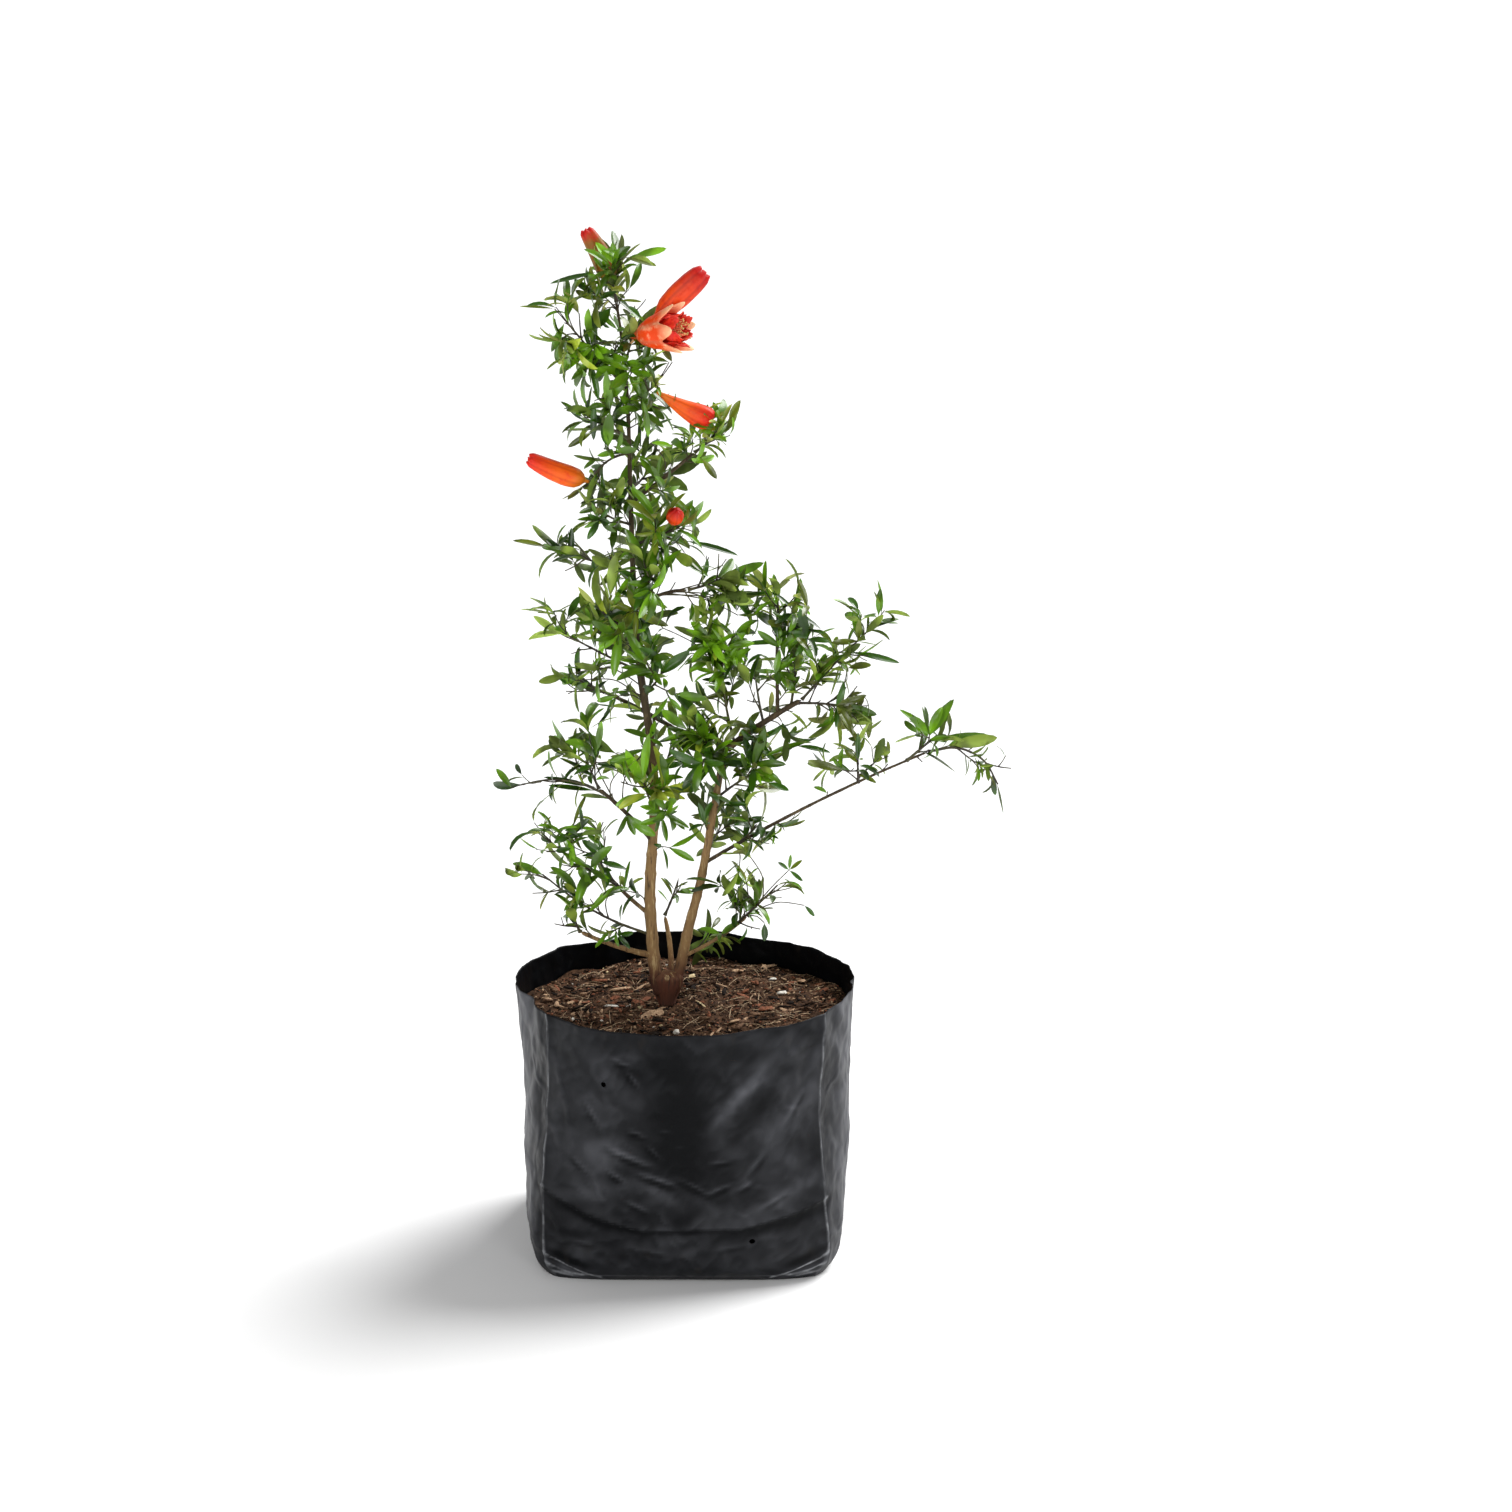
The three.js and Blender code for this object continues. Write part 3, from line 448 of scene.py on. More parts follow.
LONE_LEAVES = rows(
    LoneLeaf,
    ("top_tuft", (-36, -6, 652), (-15, -8, 649), OLIVE),
    ("top_tuft", (-53, -8, 643), (-82, -12, 637), DEEP),
    ("upper_left_spray", (-79, -14, 621), (-101, -14, 624), OLIVE, 2.4),
    ("upper_left_spray", (-73, -12, 612), (-82, -14, 594), MID),
    ("trunk", (-44, -6, 621), (-55, -12, 608), DEEP, 8.0),
    ("top_tuft", (-42, -12, 648), (-53, -13, 662), BRIGHT, 6.0),
    ("top_tuft", (-42, -10, 650), (-32, -10, 660), MID, 6.5),
    ("top_tuft", (-42, -10, 650), (-43, -11, 662), MID, 5.0),
    ("top_tuft", (-37, -12, 652), (-48, -14, 659), MID, 6.0),
    ("trunk", (-39, -4, 625), (-25, -6, 626), OLIVE, 2.4),
    ("bloom_spray", (-25, -12, 614), (-33, -10, 623), DEEP),
    ("trunk", (-58, -10, 588), (-51, -14, 564), DEEP),
    ("trunk", (-56, -10, 589), (-69, -14, 576), MID),
    ("upper_left_spray", (-76, -12, 601), (-79, -14, 587), MID),
    ("bud_spray", (-8, -8, 587), (-23, -8, 590), MID),
    ("bud_spray", (-6, -8, 587), (-12, -8, 596), OLIVE),
    ("left_high_spray", (-62, -8, 552), (-77, -10, 562), MID),
    ("left_high_spray", (-56, -8, 543), (-72, -10, 533), OLIVE),
    ("trunk", (-55, -10, 563), (-56, -12, 538), DEEP),
    ("trunk", (-25, -14, 565), (-20, -14, 540), BRIGHT),
    ("upper_right_bough", (-20, -8, 536), (-6, -8, 534), BRIGHT),
    ("left_bud_spray", (-53, -10, 527), (-62, -10, 519), MID),
    ("left_bud_spray", (-63, -8, 507), (-73, -10, 500), OLIVE),
    ("left_tall_spray", (-51, -8, 494), (-66, -10, 493), MID),
    ("left_tall_spray", (-49, -8, 488), (-67, -10, 486), MID),
    ("red_bud_spray", (7, -14, 480), (7, -14, 497), MID),
    ("red_bud_spray", (1, -12, 474), (36, -12, 466), DEEP),
    ("upper_right_bough", (12, -8, 526), (22, -8, 513), OLIVE),
    ("left_wing_spray", (-86, -4, 468), (-108, -6, 475), OLIVE),
    ("left_wing_spray", (-72, -4, 461), (-71, -4, 481), DEEP),
    ("left_wing_spray", (-75, -4, 463), (-87, -4, 474), DEEP),
    ("red_bud_spray", (1, -10, 466), (12, -10, 453), OLIVE),
    ("upper_right_spray", (25, -8, 547), (20, -8, 562), MID),
    ("upper_right_spray", (29, -8, 550), (37, -8, 563), OLIVE),
    ("bright_spray", (36, -6, 405), (63, -6, 408), DEEP),
    ("bright_spray", (10, -6, 369), (36, -8, 376), OLIVE),
    ("right_bough", (63, -8, 355), (68, -10, 341), DEEP),
    ("right_inner_spray", (50, -12, 332), (80, -12, 345), MID),
    ("right_inner_spray", (72, -8, 339), (95, -8, 335), DEEP),
    ("far_leaf_spray", (165, -14, 346), (139, -14, 365), MID),
    ("far_leaf_spray", (164, -14, 347), (172, -14, 371), MID),
    ("far_leaf_spray", (162, -14, 345), (196, -14, 347), MID, 5.6),
    ("out_twig_spray", (125, -2, 423), (126, -2, 441), MID),
    ("out_twig_spray", (111, -2, 410), (110, -2, 428), MID),
    ("out_twig_spray", (106, -4, 400), (140, -4, 395), DEEP),
    ("right_wing_spray", (109, -10, 362), (84, -14, 354), MID),
    ("right_wing_spray", (119, -10, 366), (119, -12, 344), OLIVE),
    ("left_lower_bough", (-23, -6, 337), (-50, -8, 328), MID),
    ("left_high_tuft", (-56, -12, 336), (-53, -12, 356), BRIGHT),
    ("left_far_spray", (-56, -12, 312), (-91, -14, 319), DEEP),
    ("left_far_spray", (-57, -12, 310), (-88, -14, 313), DEEP),
    ("left_far_spray", (-111, -20, 314), (-120, -20, 327), MID),
    ("left_low_spray", (-45, -10, 246), (-62, -14, 229), BRIGHT),
    ("left_mid_bough", (-55, -12, 262), (-39, -14, 260), DEEP),
    ("right_inner_spray", (54, -14, 316), (68, -14, 311), DEEP),
    ("centre_left_spray", (-22, -12, 315), (-42, -16, 325), LIME),
    ("right_wing_spray", (105, -12, 391), (120, -14, 395), OLIVE, 6.0),
    ("right_foot_spray", (78, -10, 232), (85, -11, 225), DEEP, 3.2),
    ("right_foot_spray", (68, -10, 256), (61, -12, 262), DEEP, 3.2),
    ("right_foot_spray", (68, -10, 256), (77, -12, 263), OLIVE, 3.2),
    ("right_foot_spray", (68, -10, 256), (69, -11, 267), MID, 2.6),
    ("right_foot_spray", (68, -10, 256), (77, -12, 249), DEEP, 3.0),
    ("right_foot_spray", (52, -10, 220), (52, -12, 208), DEEP, 5.0),
)


@dataclass(frozen=True)
class Clearing:
    """A gap where the sky shows through the crown, as it is seen from the front."""

    across: float
    above: float
    radius: float


CLEARINGS = rows(
    Clearing,
    (-69, 283, 7.5), (-90, 260, 8), (-27, 298, 11), (-1, 243, 10), (34, 205, 8), (-44, 186, 7),
    (11, 177, 12.5), (-74, 158, 9.5), (-54, 139, 7.5), (26, 143, 18), (-81, 111, 14),
    (-1, 111, 13), (85, 112, 10), (-77, 68, 9), (-80, 38, 11), (56, 68, 6), (44, 38, 11.5),
    (-1, 48, 6.5), (128, 59, 12), (-42, -20, 9), (-97, -16, 12), (124, 14, 5), (143, -6, 13),
    (211, -6, 10), (67, -27, 9.5), (59, -38, 8), (-5, -77, 8), (0, -95, 5), (59, -82, 7),
    (44, -113, 4.5), (-101, -62, 5), (-107, -93, 12), (-90, -110, 10), (-74, 281, 6),
    (-68, 288, 5), (-49, 273, 6), (-33, 259, 5), (-6, 219, 5), (-56, 203, 6), (-47, 185, 6),
    (-67, 142, 4.5), (-88, 147, 4), (2, 132, 5), (-8, 99, 6), (-85, 69, 5), (-51, 14, 8),
    (-16, 40, 6), (84, 96, 4.5), (91, 88, 6), (89, 67, 4), (112, 49, 5), (120, 46, 6),
    (104, 12, 4), (72, -51, 7), (18, -105, 4), (-113, -66, 5), (-47, -38, 5), (133, 14, 6),
    (176, 1, 6), (153, 36, 6), (-36, 339, 6), (-79, 325, 7), (-94, 131, 5), (-5, 88, 5),
    (133, 102, 5), (88, 100, 4), (103, 84, 5), (-78, -38, 9), (-48, -52, 6), (-104, -40, 4),
    (-7, -52, 5), (28, -68, 5), (17, -90, 5), (66, -52, 6), (174, 29, 5), (205, -14, 6),
    (35, 90, 6.2), (-22, 80, 4.3), (-62, 66, 5.6), (-74, 82, 3.7), (-1, 72, 6.2), (46, 75, 3.7),
    (-64, 36, 5.6), (-48, 49, 5.6), (-42, 10, 8.7), (-31, 6, 6.2), (-51, -1, 3.7), (6, -12, 3.1),
    (30, -23, 5.6), (30, -9, 3.1), (4, -33, 5.6), (-29, -35, 3.7), (4, -58, 5.6), (-16, -50, 3.1),
    (-42, -64, 4.3), (-68, -62, 5), (20, -74, 4.3), (-70, -84, 4.3), (-60, -90, 5), (-6, -87, 4.3),
    (69, 108, 4.3), (119, 99, 5.6), (142, 97, 5), (54, 82, 5), (44, 67, 4.3), (65, 67, 4.3),
    (43, 54, 3.1), (88, 39, 6.8), (93, 35, 5), (75, 29, 4.3), (94, 14, 5), (112, 17, 3.7),
    (119, 1, 5.6), (109, -9, 5), (98, -19, 5), (94, -30, 4.3), (67, -6, 5), (65, -14, 5),
    (61, 7, 4.3), (46, -36, 3.7), (124, 40, 3.7), (162, -6, 5), (150, 10, 3.7), (-55, -38, 5),
    (-97, -42, 5), (-108, -47, 3.7), (-94, -58, 5), (-89, -69, 5.6), (-89, -80, 4.3),
    (-77, -73, 3.7), (-118, -80, 5.6), (-82, -100, 5), (-46, -76, 3.7), (-48, -100, 5),
    (-40, -93, 5), (-61, -104, 3.7), (-79, -113, 3.7), (41, -69, 3.7), (50, -75, 3.7),
    (52, -93, 5.6), (67, -90, 5), (76, -80, 5.6), (44, -89, 3.1), (57, -61, 5), (18, -95, 5),
    (10, -108, 5), (28, -106, 5.6), (26, -92, 3.7), (51, -112, 5), (57, -105, 3.7), (73, -69, 6),
    (61, -123, 7),
)


@dataclass(frozen=True)
class SpurRow:
    """Short leafy spurs along a limb, from one share of it up to another."""

    begin: float
    end: float
    spacing: float
    tint: LeafTint
    leaf: float = 0.8


SPURS = {name: SpurRow(*row) for name, row in {
    "trunk": (0.3, 0.99, 9.0, MID), "right_stem": (0.6, 0.98, 11.0, MID),
    "crossing_bough": (0.3, 0.98, 10.0, DEEP), "right_bough": (0.35, 0.98, 11.0, MID),
    "right_upright": (0.1, 0.98, 9.0, MID), "long_bough": (0.5, 0.96, 21.0, MID),
    "upper_right_bough": (0.3, 0.98, 10.0, BRIGHT), "right_top_bough": (0.25, 0.98, 9.0, MID),
    "left_lower_bough": (0.45, 0.98, 11.0, MID), "left_mid_bough": (0.45, 0.98, 11.0, MID),
    "low_left_bough": (0.7, 0.98, 12.0, DEEP), "right_low_bough": (0.45, 0.98, 11.0, MID),
}.items()}


class BudForm(Enum):
    """The outlines of closed buds: shares of the length and of the radius, root first."""

    CLUB = ((0, 0), (0.0, 0.14), (0.08, 0.2), (0.2, 0.36), (0.4, 0.6), (0.6, 0.82),
            (0.78, 1), (0.9, 0.98), (0.97, 0.8), (1, 0.5), (0.985, 0.24), (0.97, 0))
    LONG_NECK = ((0, 0), (0.0, 0.14), (0.2, 0.18), (0.36, 0.28), (0.43, 0.6), (0.5, 0.86),
                 (0.66, 1), (0.84, 0.97), (0.94, 0.86), (1, 0.58), (0.985, 0.28), (0.965, 0))
    BARREL = ((0, 0), (0.0, 0.14), (0.07, 0.2), (0.12, 0.6), (0.2, 0.9), (0.36, 1),
              (0.6, 0.93), (0.82, 0.8), (0.95, 0.68), (1, 0.44), (0.985, 0.22), (0.97, 0))
    ROUND = ((0, 0), (0.0, 0.22), (0.12, 0.26), (0.24, 0.68), (0.46, 0.98), (0.66, 1),
             (0.84, 0.8), (0.95, 0.46), (1, 0.2), (1, 0.1), (0.99, 0.05), (0.985, 0))


@dataclass(frozen=True)
class BudRow:
    """A bud on a spray's leading twig."""

    on: str
    at: float
    heading: float
    rise: float
    length: float
    radius: float
    form: BudForm
    drop: float = 0.0


BUDS = {
    "top_bud": BudRow("top_tuft", 0.6, 180, 64, 38, 7.0, BudForm.BARREL, 1.0),
    "flower_bud": BudRow("bloom_spray", 0.8, 8, 43, 64, 8.0, BudForm.LONG_NECK),
    "right_bud": BudRow("bud_spray", 1, -8, -27, 39, 7.6, BudForm.CLUB, 4.5),
    "left_bud": BudRow("left_bud_spray", 1, 184, 22, 41, 7.0, BudForm.BARREL, -0.6),
    "round_bud": BudRow("red_bud_spray", 0.85, -75, 45, 15, 5.6, BudForm.ROUND, -3.5),
}


# ------------------------------------------------------------------ shader tools


class Value:
    """A number socket that takes part in sums; each operator adds one Math node."""

    def __init__(self, surface: "Surface", socket: bpy.types.NodeSocket) -> None:
        """Wraps an output socket of a surface's tree."""
        self.surface = surface
        self.socket = socket

    def _sum(self, operation: str, first: "Signal", second: "Signal") -> "Value":
        """Adds the Math node of one operation and returns its result."""
        node = self.surface.add("Math", {"operation": operation}, {0: first, 1: second})
        return Value(self.surface, node.outputs[0])

    def __add__(self, other: "Signal") -> "Value":
        """self + other."""
        return self._sum("ADD", self, other)

    __radd__ = __add__

    def __sub__(self, other: "Signal") -> "Value":
        """self - other."""
        return self._sum("SUBTRACT", self, other)

    def __rsub__(self, other: "Signal") -> "Value":
        """other - self."""
        return self._sum("SUBTRACT", other, self)

    def __mul__(self, other: "Signal") -> "Value":
        """self * other."""
        return self._sum("MULTIPLY", self, other)

    __rmul__ = __mul__

    def between(self, low: float, high: float) -> "Value":
        """Carries low..high onto 0..1 and keeps it there."""
        node = self.surface.add("MapRange", {"interpolation_type": "SMOOTHSTEP"},
                                {"Value": self, "From Min": low, "From Max": high})
        return Value(self.surface, node.outputs[0])


Signal = Value | bpy.types.NodeSocket | float | tuple


class Surface:
    """A material whose nodes are laid out by the finishes below."""

    def __init__(self, name: str) -> None:
        """Makes the material with its one shader and its Object coordinates."""
        self.material = bpy.data.materials.new(name)
        self.material.use_nodes = True
        self.tree = self.material.node_tree
        self.tree.nodes.clear()
        output = self.add("OutputMaterial", {}, {})
        self.shader = self.add("BsdfPrincipled", {}, {})
        self.tree.links.new(self.shader.outputs[0], output.inputs[0])
        self.place = self.add("TexCoord", {}, {}).outputs["Object"]

    def add(self, kind: str, settings: dict, sockets: dict) -> bpy.types.Node:
        """Adds a node.

        Args:
            kind: the node's type without its ShaderNode prefix.
            settings: its properties, set first; `stops` are the stops of a ramp.
            sockets: a value or a link for each named or numbered input.

        Returns:
            The node.
        """
        node = self.tree.nodes.new("ShaderNode" + kind)
        for key, value in settings.items():
            if key == "stops":
                self._set_stops(node.color_ramp, value)
            else:
                setattr(node, key, value)
        for key, value in sockets.items():
            self.plug(value, node.inputs[key])
        return node

    @staticmethod
    def _set_stops(ramp: bpy.types.ColorRamp, stops: Sequence[tuple[float, Colour]]) -> None:
        """Gives a ramp its stops."""
        while len(ramp.elements) < len(stops):
            ramp.elements.new(0.5)
        for element, (position, colour) in zip(ramp.elements, stops):
            element.position = position
            element.color = colour

    def plug(self, value: Signal, socket: bpy.types.NodeSocket) -> None:
        """Links a signal to an input, or sets a plain value on it."""
        if isinstance(value, Value):
            self.tree.links.new(value.socket, socket)
        elif isinstance(value, bpy.types.NodeSocket):
            self.tree.links.new(value, socket)
        else:
            socket.default_value = value

    def wear(self, **sockets: Signal) -> None:
        """Sets or links inputs of the shader; an underscore stands for a space."""
        for key, value in sockets.items():
            self.plug(value, self.shader.inputs[key.replace("_", " ")])

    def mark(self, name: str) -> Value:
        """Returns an attribute that the piece carries for its looks."""
        return Value(self, self.add("Attribute", {"attribute_name": name}, {}).outputs["Fac"])

    def height(self) -> Value:
        """Returns the height above the ground, in metres."""
        return Value(self, self.add("SeparateXYZ", {}, {0: self.place}).outputs[2])

    def speckle(self, size: float, detail: float = 2.0,
                stretch: tuple[float, float, float] = (1.0, 1.0, 1.0),
                roughness: float = 0.5) -> Value:
        """Returns noise on Object coordinates.

        Args:
            size: the size of its blotches in millimetres.
            detail: the number of finer layers.
            stretch: how the pattern is packed along each axis.
            roughness: the strength of the finer layers.

        Returns:
            The noise, about 0.5 in the middle.
        """
        place = self.add("Mapping", {}, {"Vector": self.place, "Scale": stretch})
        node = self.add("TexNoise", {}, {
            "Vector": place.outputs[0], "Scale": 1 / (size * MM), "Detail": detail,
            "Roughness": roughness})
        return Value(self, node.outputs[0])

    def blend(self, factor: Signal, first: Signal, second: Signal) -> bpy.types.NodeSocket:
        """Mixes two colours."""
        node = self.add("Mix", {"data_type": "RGBA"}, {0: factor, 6: first, 7: second})
        return node.outputs[2]

    def ramp(self, factor: Signal, stops: Sequence[tuple[float, Colour]]) -> bpy.types.NodeSocket:
        """Carries a number onto a run of colours."""
        return self.add("ValToRGB", {"stops": stops}, {0: factor}).outputs[0]

    def relief(self, height: Signal, depth: float, strength: float = 1.0) -> None:
        """Bumps the surface.

        Args:
            height: the height signal from 0 to 1.
            depth: the relief in millimetres.
            strength: the share of it that shows.
        """
        node = self.add("Bump", {}, {"Height": height, "Distance": depth * MM,
                                     "Strength": strength})
        self.wear(Normal=node.outputs[0])


# ------------------------------------------------------------------ finishes


def shaded(colour: Colour, share: float) -> Colour:
    """Returns a colour with a share of its light."""
    return (*(channel * share for channel in colour[:3]), 1.0)


@dataclass(frozen=True)
class FilmFinish:
    """Semi-gloss black polythene film, with painted sheen and painted shade on its bulges and
    wrinkles and painted highlights along its creases.
    """

    film: Colour = paint(7, 8, 10)
    sheen_grey: Colour = paint(96, 97, 102)
    crease_highlight: Colour = paint(150, 152, 156)
    dust: Colour = paint(52, 46, 40)
    gloss: float = 0.07

    def make(self) -> bpy.types.Material:
        """Returns the material, which reads the bag's own `crease` attribute, painted highlights
        along the creases, and its attribute of painted sheen and shade.
        """
        s = Surface("black_film")
        sheen_and_shade = s.mark("sheen_and_shade")
        broad = s.speckle(46, 2.0)
        dents = s.speckle(15, 1.5, roughness=0.4)
        swell = Value(s, s.add("Math", {"operation": "ABSOLUTE"}, {0: broad - 0.5}).outputs[0])
        ridge = 1 - swell.between(0.0, 0.07)
        # Painted sheen and shade: the bag's painted level, made lighter on the dents and along the
        # ridges of the broad noise.
        sheen_level = sheen_and_shade * (0.8 + dents.between(0.42, 0.66) * 0.2) + ridge * sheen_and_shade * 0.2
        soil = s.speckle(9, 5.0, (1, 1, 0.5)).between(0.58, 0.8)
        height = s.height()
        ends = 1 - height.between(0.004, 0.04) + height.between(0.155, 0.178)
        # Blends the black film towards pale grey where the painted sheen is high.
        sheened = s.blend(sheen_level.between(0.0, 1.0), self.film, self.sheen_grey)
        dusty = s.blend(soil * ends * 0.35, sheened, self.dust)
        # Painted highlights along the creases, broken by noise.
        broken = s.speckle(7, 3.0).between(0.4, 0.6) * 0.45 + 0.3
        crease = s.mark("crease").between(0.25, 1.0) * broken
        s.wear(Base_Color=s.blend(crease, dusty, self.crease_highlight), Specular_IOR_Level=self.gloss)
        s.wear(Roughness=0.34 + broad * 0.12 + soil * ends * 0.25)
        s.relief(dents * 0.5 + ridge * 0.12 + broad * 0.5, 9, 0.5)
        return s.material


@dataclass(frozen=True)
class MixFinish:
    """Moist potting mix of bark and coir."""

    dark: Colour = paint(32, 20, 12)
    brown: Colour = paint(82, 59, 43)
    red: Colour = paint(118, 84, 62)

    def make(self) -> bpy.types.Material:
        """Returns the material."""
        s = Surface("potting_mix")
        grain = s.speckle(3.2, 5.0, roughness=0.65)
        patch = s.speckle(16, 2.0)
        ground = s.ramp(grain, ((0.32, self.dark), (0.52, self.brown), (0.72, self.red)))
        s.wear(Base_Color=s.blend(patch.between(0.42, 0.66) * 0.6, ground, self.dark))
        s.wear(Roughness=0.95, Specular_IOR_Level=0.1)
        s.relief(grain, 1.6, 0.9)
        return s.material


@dataclass(frozen=True)
class GrainFinish:
    """Two base colours dealt out by fine noise: crumbs, coir, cut wood, twigs and petals."""

    name: str
    colour: Colour
    shade: Colour
    roughness: float = 0.9
    size: float = 1.3
    detail: float = 3.0
    span: tuple[float, float] = (0.35, 0.7)
    gloss: float = 0.15
    depth: float = 0.4
    strength: float = 0.7
    relief_size: float = 0.0

    def make(self) -> bpy.types.Material:
        """Returns the material; `relief_size` gives the relief a finer noise of its own."""
        s = Surface(self.name)
        grain = s.speckle(self.size, self.detail)
        s.wear(Base_Color=s.blend(grain.between(*self.span), self.shade, self.colour))
        s.wear(Roughness=self.roughness, Specular_IOR_Level=self.gloss)
        bumps = s.speckle(self.relief_size, 2.0) if self.relief_size else grain
        s.relief(bumps, self.depth, self.strength)
        return s.material


TWIG_SKIN = GrainFinish("twig_skin", paint(66, 62, 28), paint(44, 34, 22), 0.55, 11, 2.0,
                        (0.42, 0.62), 0.5, 0.12, 0.6, 1.4)
CUT_WOOD = GrainFinish("cut_wood", paint(104, 76, 50), paint(164, 134, 96), 0.8, 1.6, 3.0,
                       (0.4, 0.7), 0.5, 0.2, 0.6)
PETAL = GrainFinish("petal", paint(222, 52, 14), paint(204, 20, 8), 0.6, 3, 4.0,
                    (0.35, 0.7), 0.5, 0.6, 0.7)
COIR = GrainFinish("coir", paint(196, 172, 142), paint(122, 98, 76))
FILAMENT = GrainFinish("filament", paint(240, 170, 130), paint(226, 120, 84), 0.6)
ANTHER = GrainFinish("anther", paint(226, 196, 130), paint(180, 140, 80))
BARKS = (
    GrainFinish("chip_dark", paint(78, 54, 38), paint(38, 24, 15)),
    GrainFinish("chip_brown", paint(122, 94, 72), paint(78, 56, 42)),
    GrainFinish("chip_black", paint(38, 26, 18), paint(16, 10, 7)),
    GrainFinish("chip_red", paint(142, 90, 66), paint(98, 60, 42)),
    GrainFinish("chip_tan", paint(196, 164, 132), paint(146, 116, 92)),
)
GRAINS = (
    GrainFinish("perlite_cream", paint(220, 202, 160), paint(170, 148, 112)),
    GrainFinish("perlite_white", paint(234, 230, 222), paint(190, 184, 172)),
)


@dataclass(frozen=True)
class BarkFinish:
    """Thin bark: red-brown and ridged at the foot, tan with streaks above, olive when young."""

    root: Colour = paint(80, 38, 17)
    tan: Colour = paint(136, 106, 66)
    grey: Colour = paint(190, 162, 112)
    dark: Colour = paint(38, 24, 12)
    young: Colour = paint(56, 45, 25)

    def make(self) -> bpy.types.Material:
        """Returns the material, which reads the stems' own `thick` attribute."""
        s = Surface("bark")
        height = s.height()
        thick = s.mark("thick")
        streak = s.speckle(2.4, 4.0, (1.0, 1.0, 0.16), 0.6)
        patch = s.speckle(14, 3.0, (1.0, 1.0, 0.5))
        old = s.blend(height.between(0.176, 0.205), self.root, self.tan)
        green = height.between(0.27, 0.36) * thick + height.between(0.2, 0.25) * (1 - thick)
        wood = s.blend(green * 0.95, old, self.young)
        fade = (1 - green * 0.75) * height.between(0.166, 0.192)
        flecked = s.blend(streak.between(0.54, 0.72) * fade * 0.7, wood, self.grey)
        cracked = s.blend((1 - streak.between(0.3, 0.46)) * 0.8, flecked, self.dark)
        s.wear(Base_Color=s.blend(patch.between(0.55, 0.72) * 0.35, cracked, self.dark))
        s.wear(Roughness=0.72 + patch * 0.2)
        s.relief(streak, 0.5, 0.8)
        return s.material


@dataclass(frozen=True)
class LeafFinish:
    """One tint of leaf, waxy above and paler and duller underneath."""

    name: str
    upper: Colour
    under: Colour
    dimmest: float = 0.38
    gloss: float = 0.52

    def make(self) -> tuple[bpy.types.Material, bpy.types.Material]:
        """Returns the materials of the upper and the under side."""
        return self._side("upper", self.upper, 0.25), self._side("under", self.under, 0.55)

    def _side(self, side: str, colour: Colour, roughness: float) -> bpy.types.Material:
        """Returns the material of one side."""
        s = Surface(f"leaf_{self.name}_{side}")
        tone = s.speckle(17, 1.0).between(0.38, 0.62)
        s.wear(Base_Color=s.blend(tone, shaded(colour, self.dimmest), colour))
        s.wear(Roughness=roughness + s.speckle(5, 1.0) * 0.1, Specular_IOR_Level=self.gloss)
        return s.material


LEAF_FINISHES = {
    DEEP: LeafFinish("deep", paint(56, 98, 10), paint(104, 130, 40)),
    MID: LeafFinish("mid", paint(96, 142, 16), paint(140, 164, 58)),
    BRIGHT: LeafFinish("bright", paint(122, 176, 26), paint(166, 194, 80)),
    LIME: LeafFinish("lime", paint(172, 190, 58), paint(196, 206, 108)),
    OLIVE: LeafFinish("olive", paint(110, 126, 32), paint(148, 156, 70)),
}


@dataclass(frozen=True)
class CalyxFinish:
    """Fleshy bud skin that runs from its root colour through its middle one to its tip's, with
    painted shade in its grooves.
    """

    name: str
    root: Colour
    middle: Colour
    tip: Colour
    hold: float = 0.5

    def make(self) -> bpy.types.Material:
        """Returns the material, which reads the bud's own `along` and `ridge` attributes."""
        s = Surface(self.name)
        mottle = s.speckle(4, 3.0)
        run = s.ramp(s.mark("along") + (mottle - 0.5) * 0.16,
                     ((0.05, self.root), (0.36, self.middle), (self.hold, self.middle),
                      (0.96, self.tip)))
        streaked = s.blend(mottle.between(0.5, 0.75) * 0.5, run, self.tip)
        # Painted shade in the grooves between the sepals: a darkened copy of the tip colour.
        groove = s.mark("ridge").between(0.3, 1.0) * 0.3
        s.wear(Base_Color=s.blend(groove, streaked, shaded(self.tip, 0.35)))
        s.wear(Roughness=0.4 + mottle * 0.12, Specular_IOR_Level=0.28)
        s.relief(mottle, 0.4, 0.8)
        return s.material


RIPE = CalyxFinish("calyx_ripe", paint(244, 190, 134), paint(236, 74, 14), paint(184, 14, 8), 0.6)
ORANGE = CalyxFinish("calyx_orange", paint(196, 112, 24), paint(230, 90, 8), paint(212, 34, 12))
GREEN = CalyxFinish("calyx_green", paint(96, 100, 24), paint(132, 88, 18), paint(186, 20, 12),
                    0.76)
OPEN = CalyxFinish("calyx_open", paint(206, 70, 14), paint(232, 66, 8), paint(250, 204, 156), 0.6)


# ------------------------------------------------------------------ mesh tools


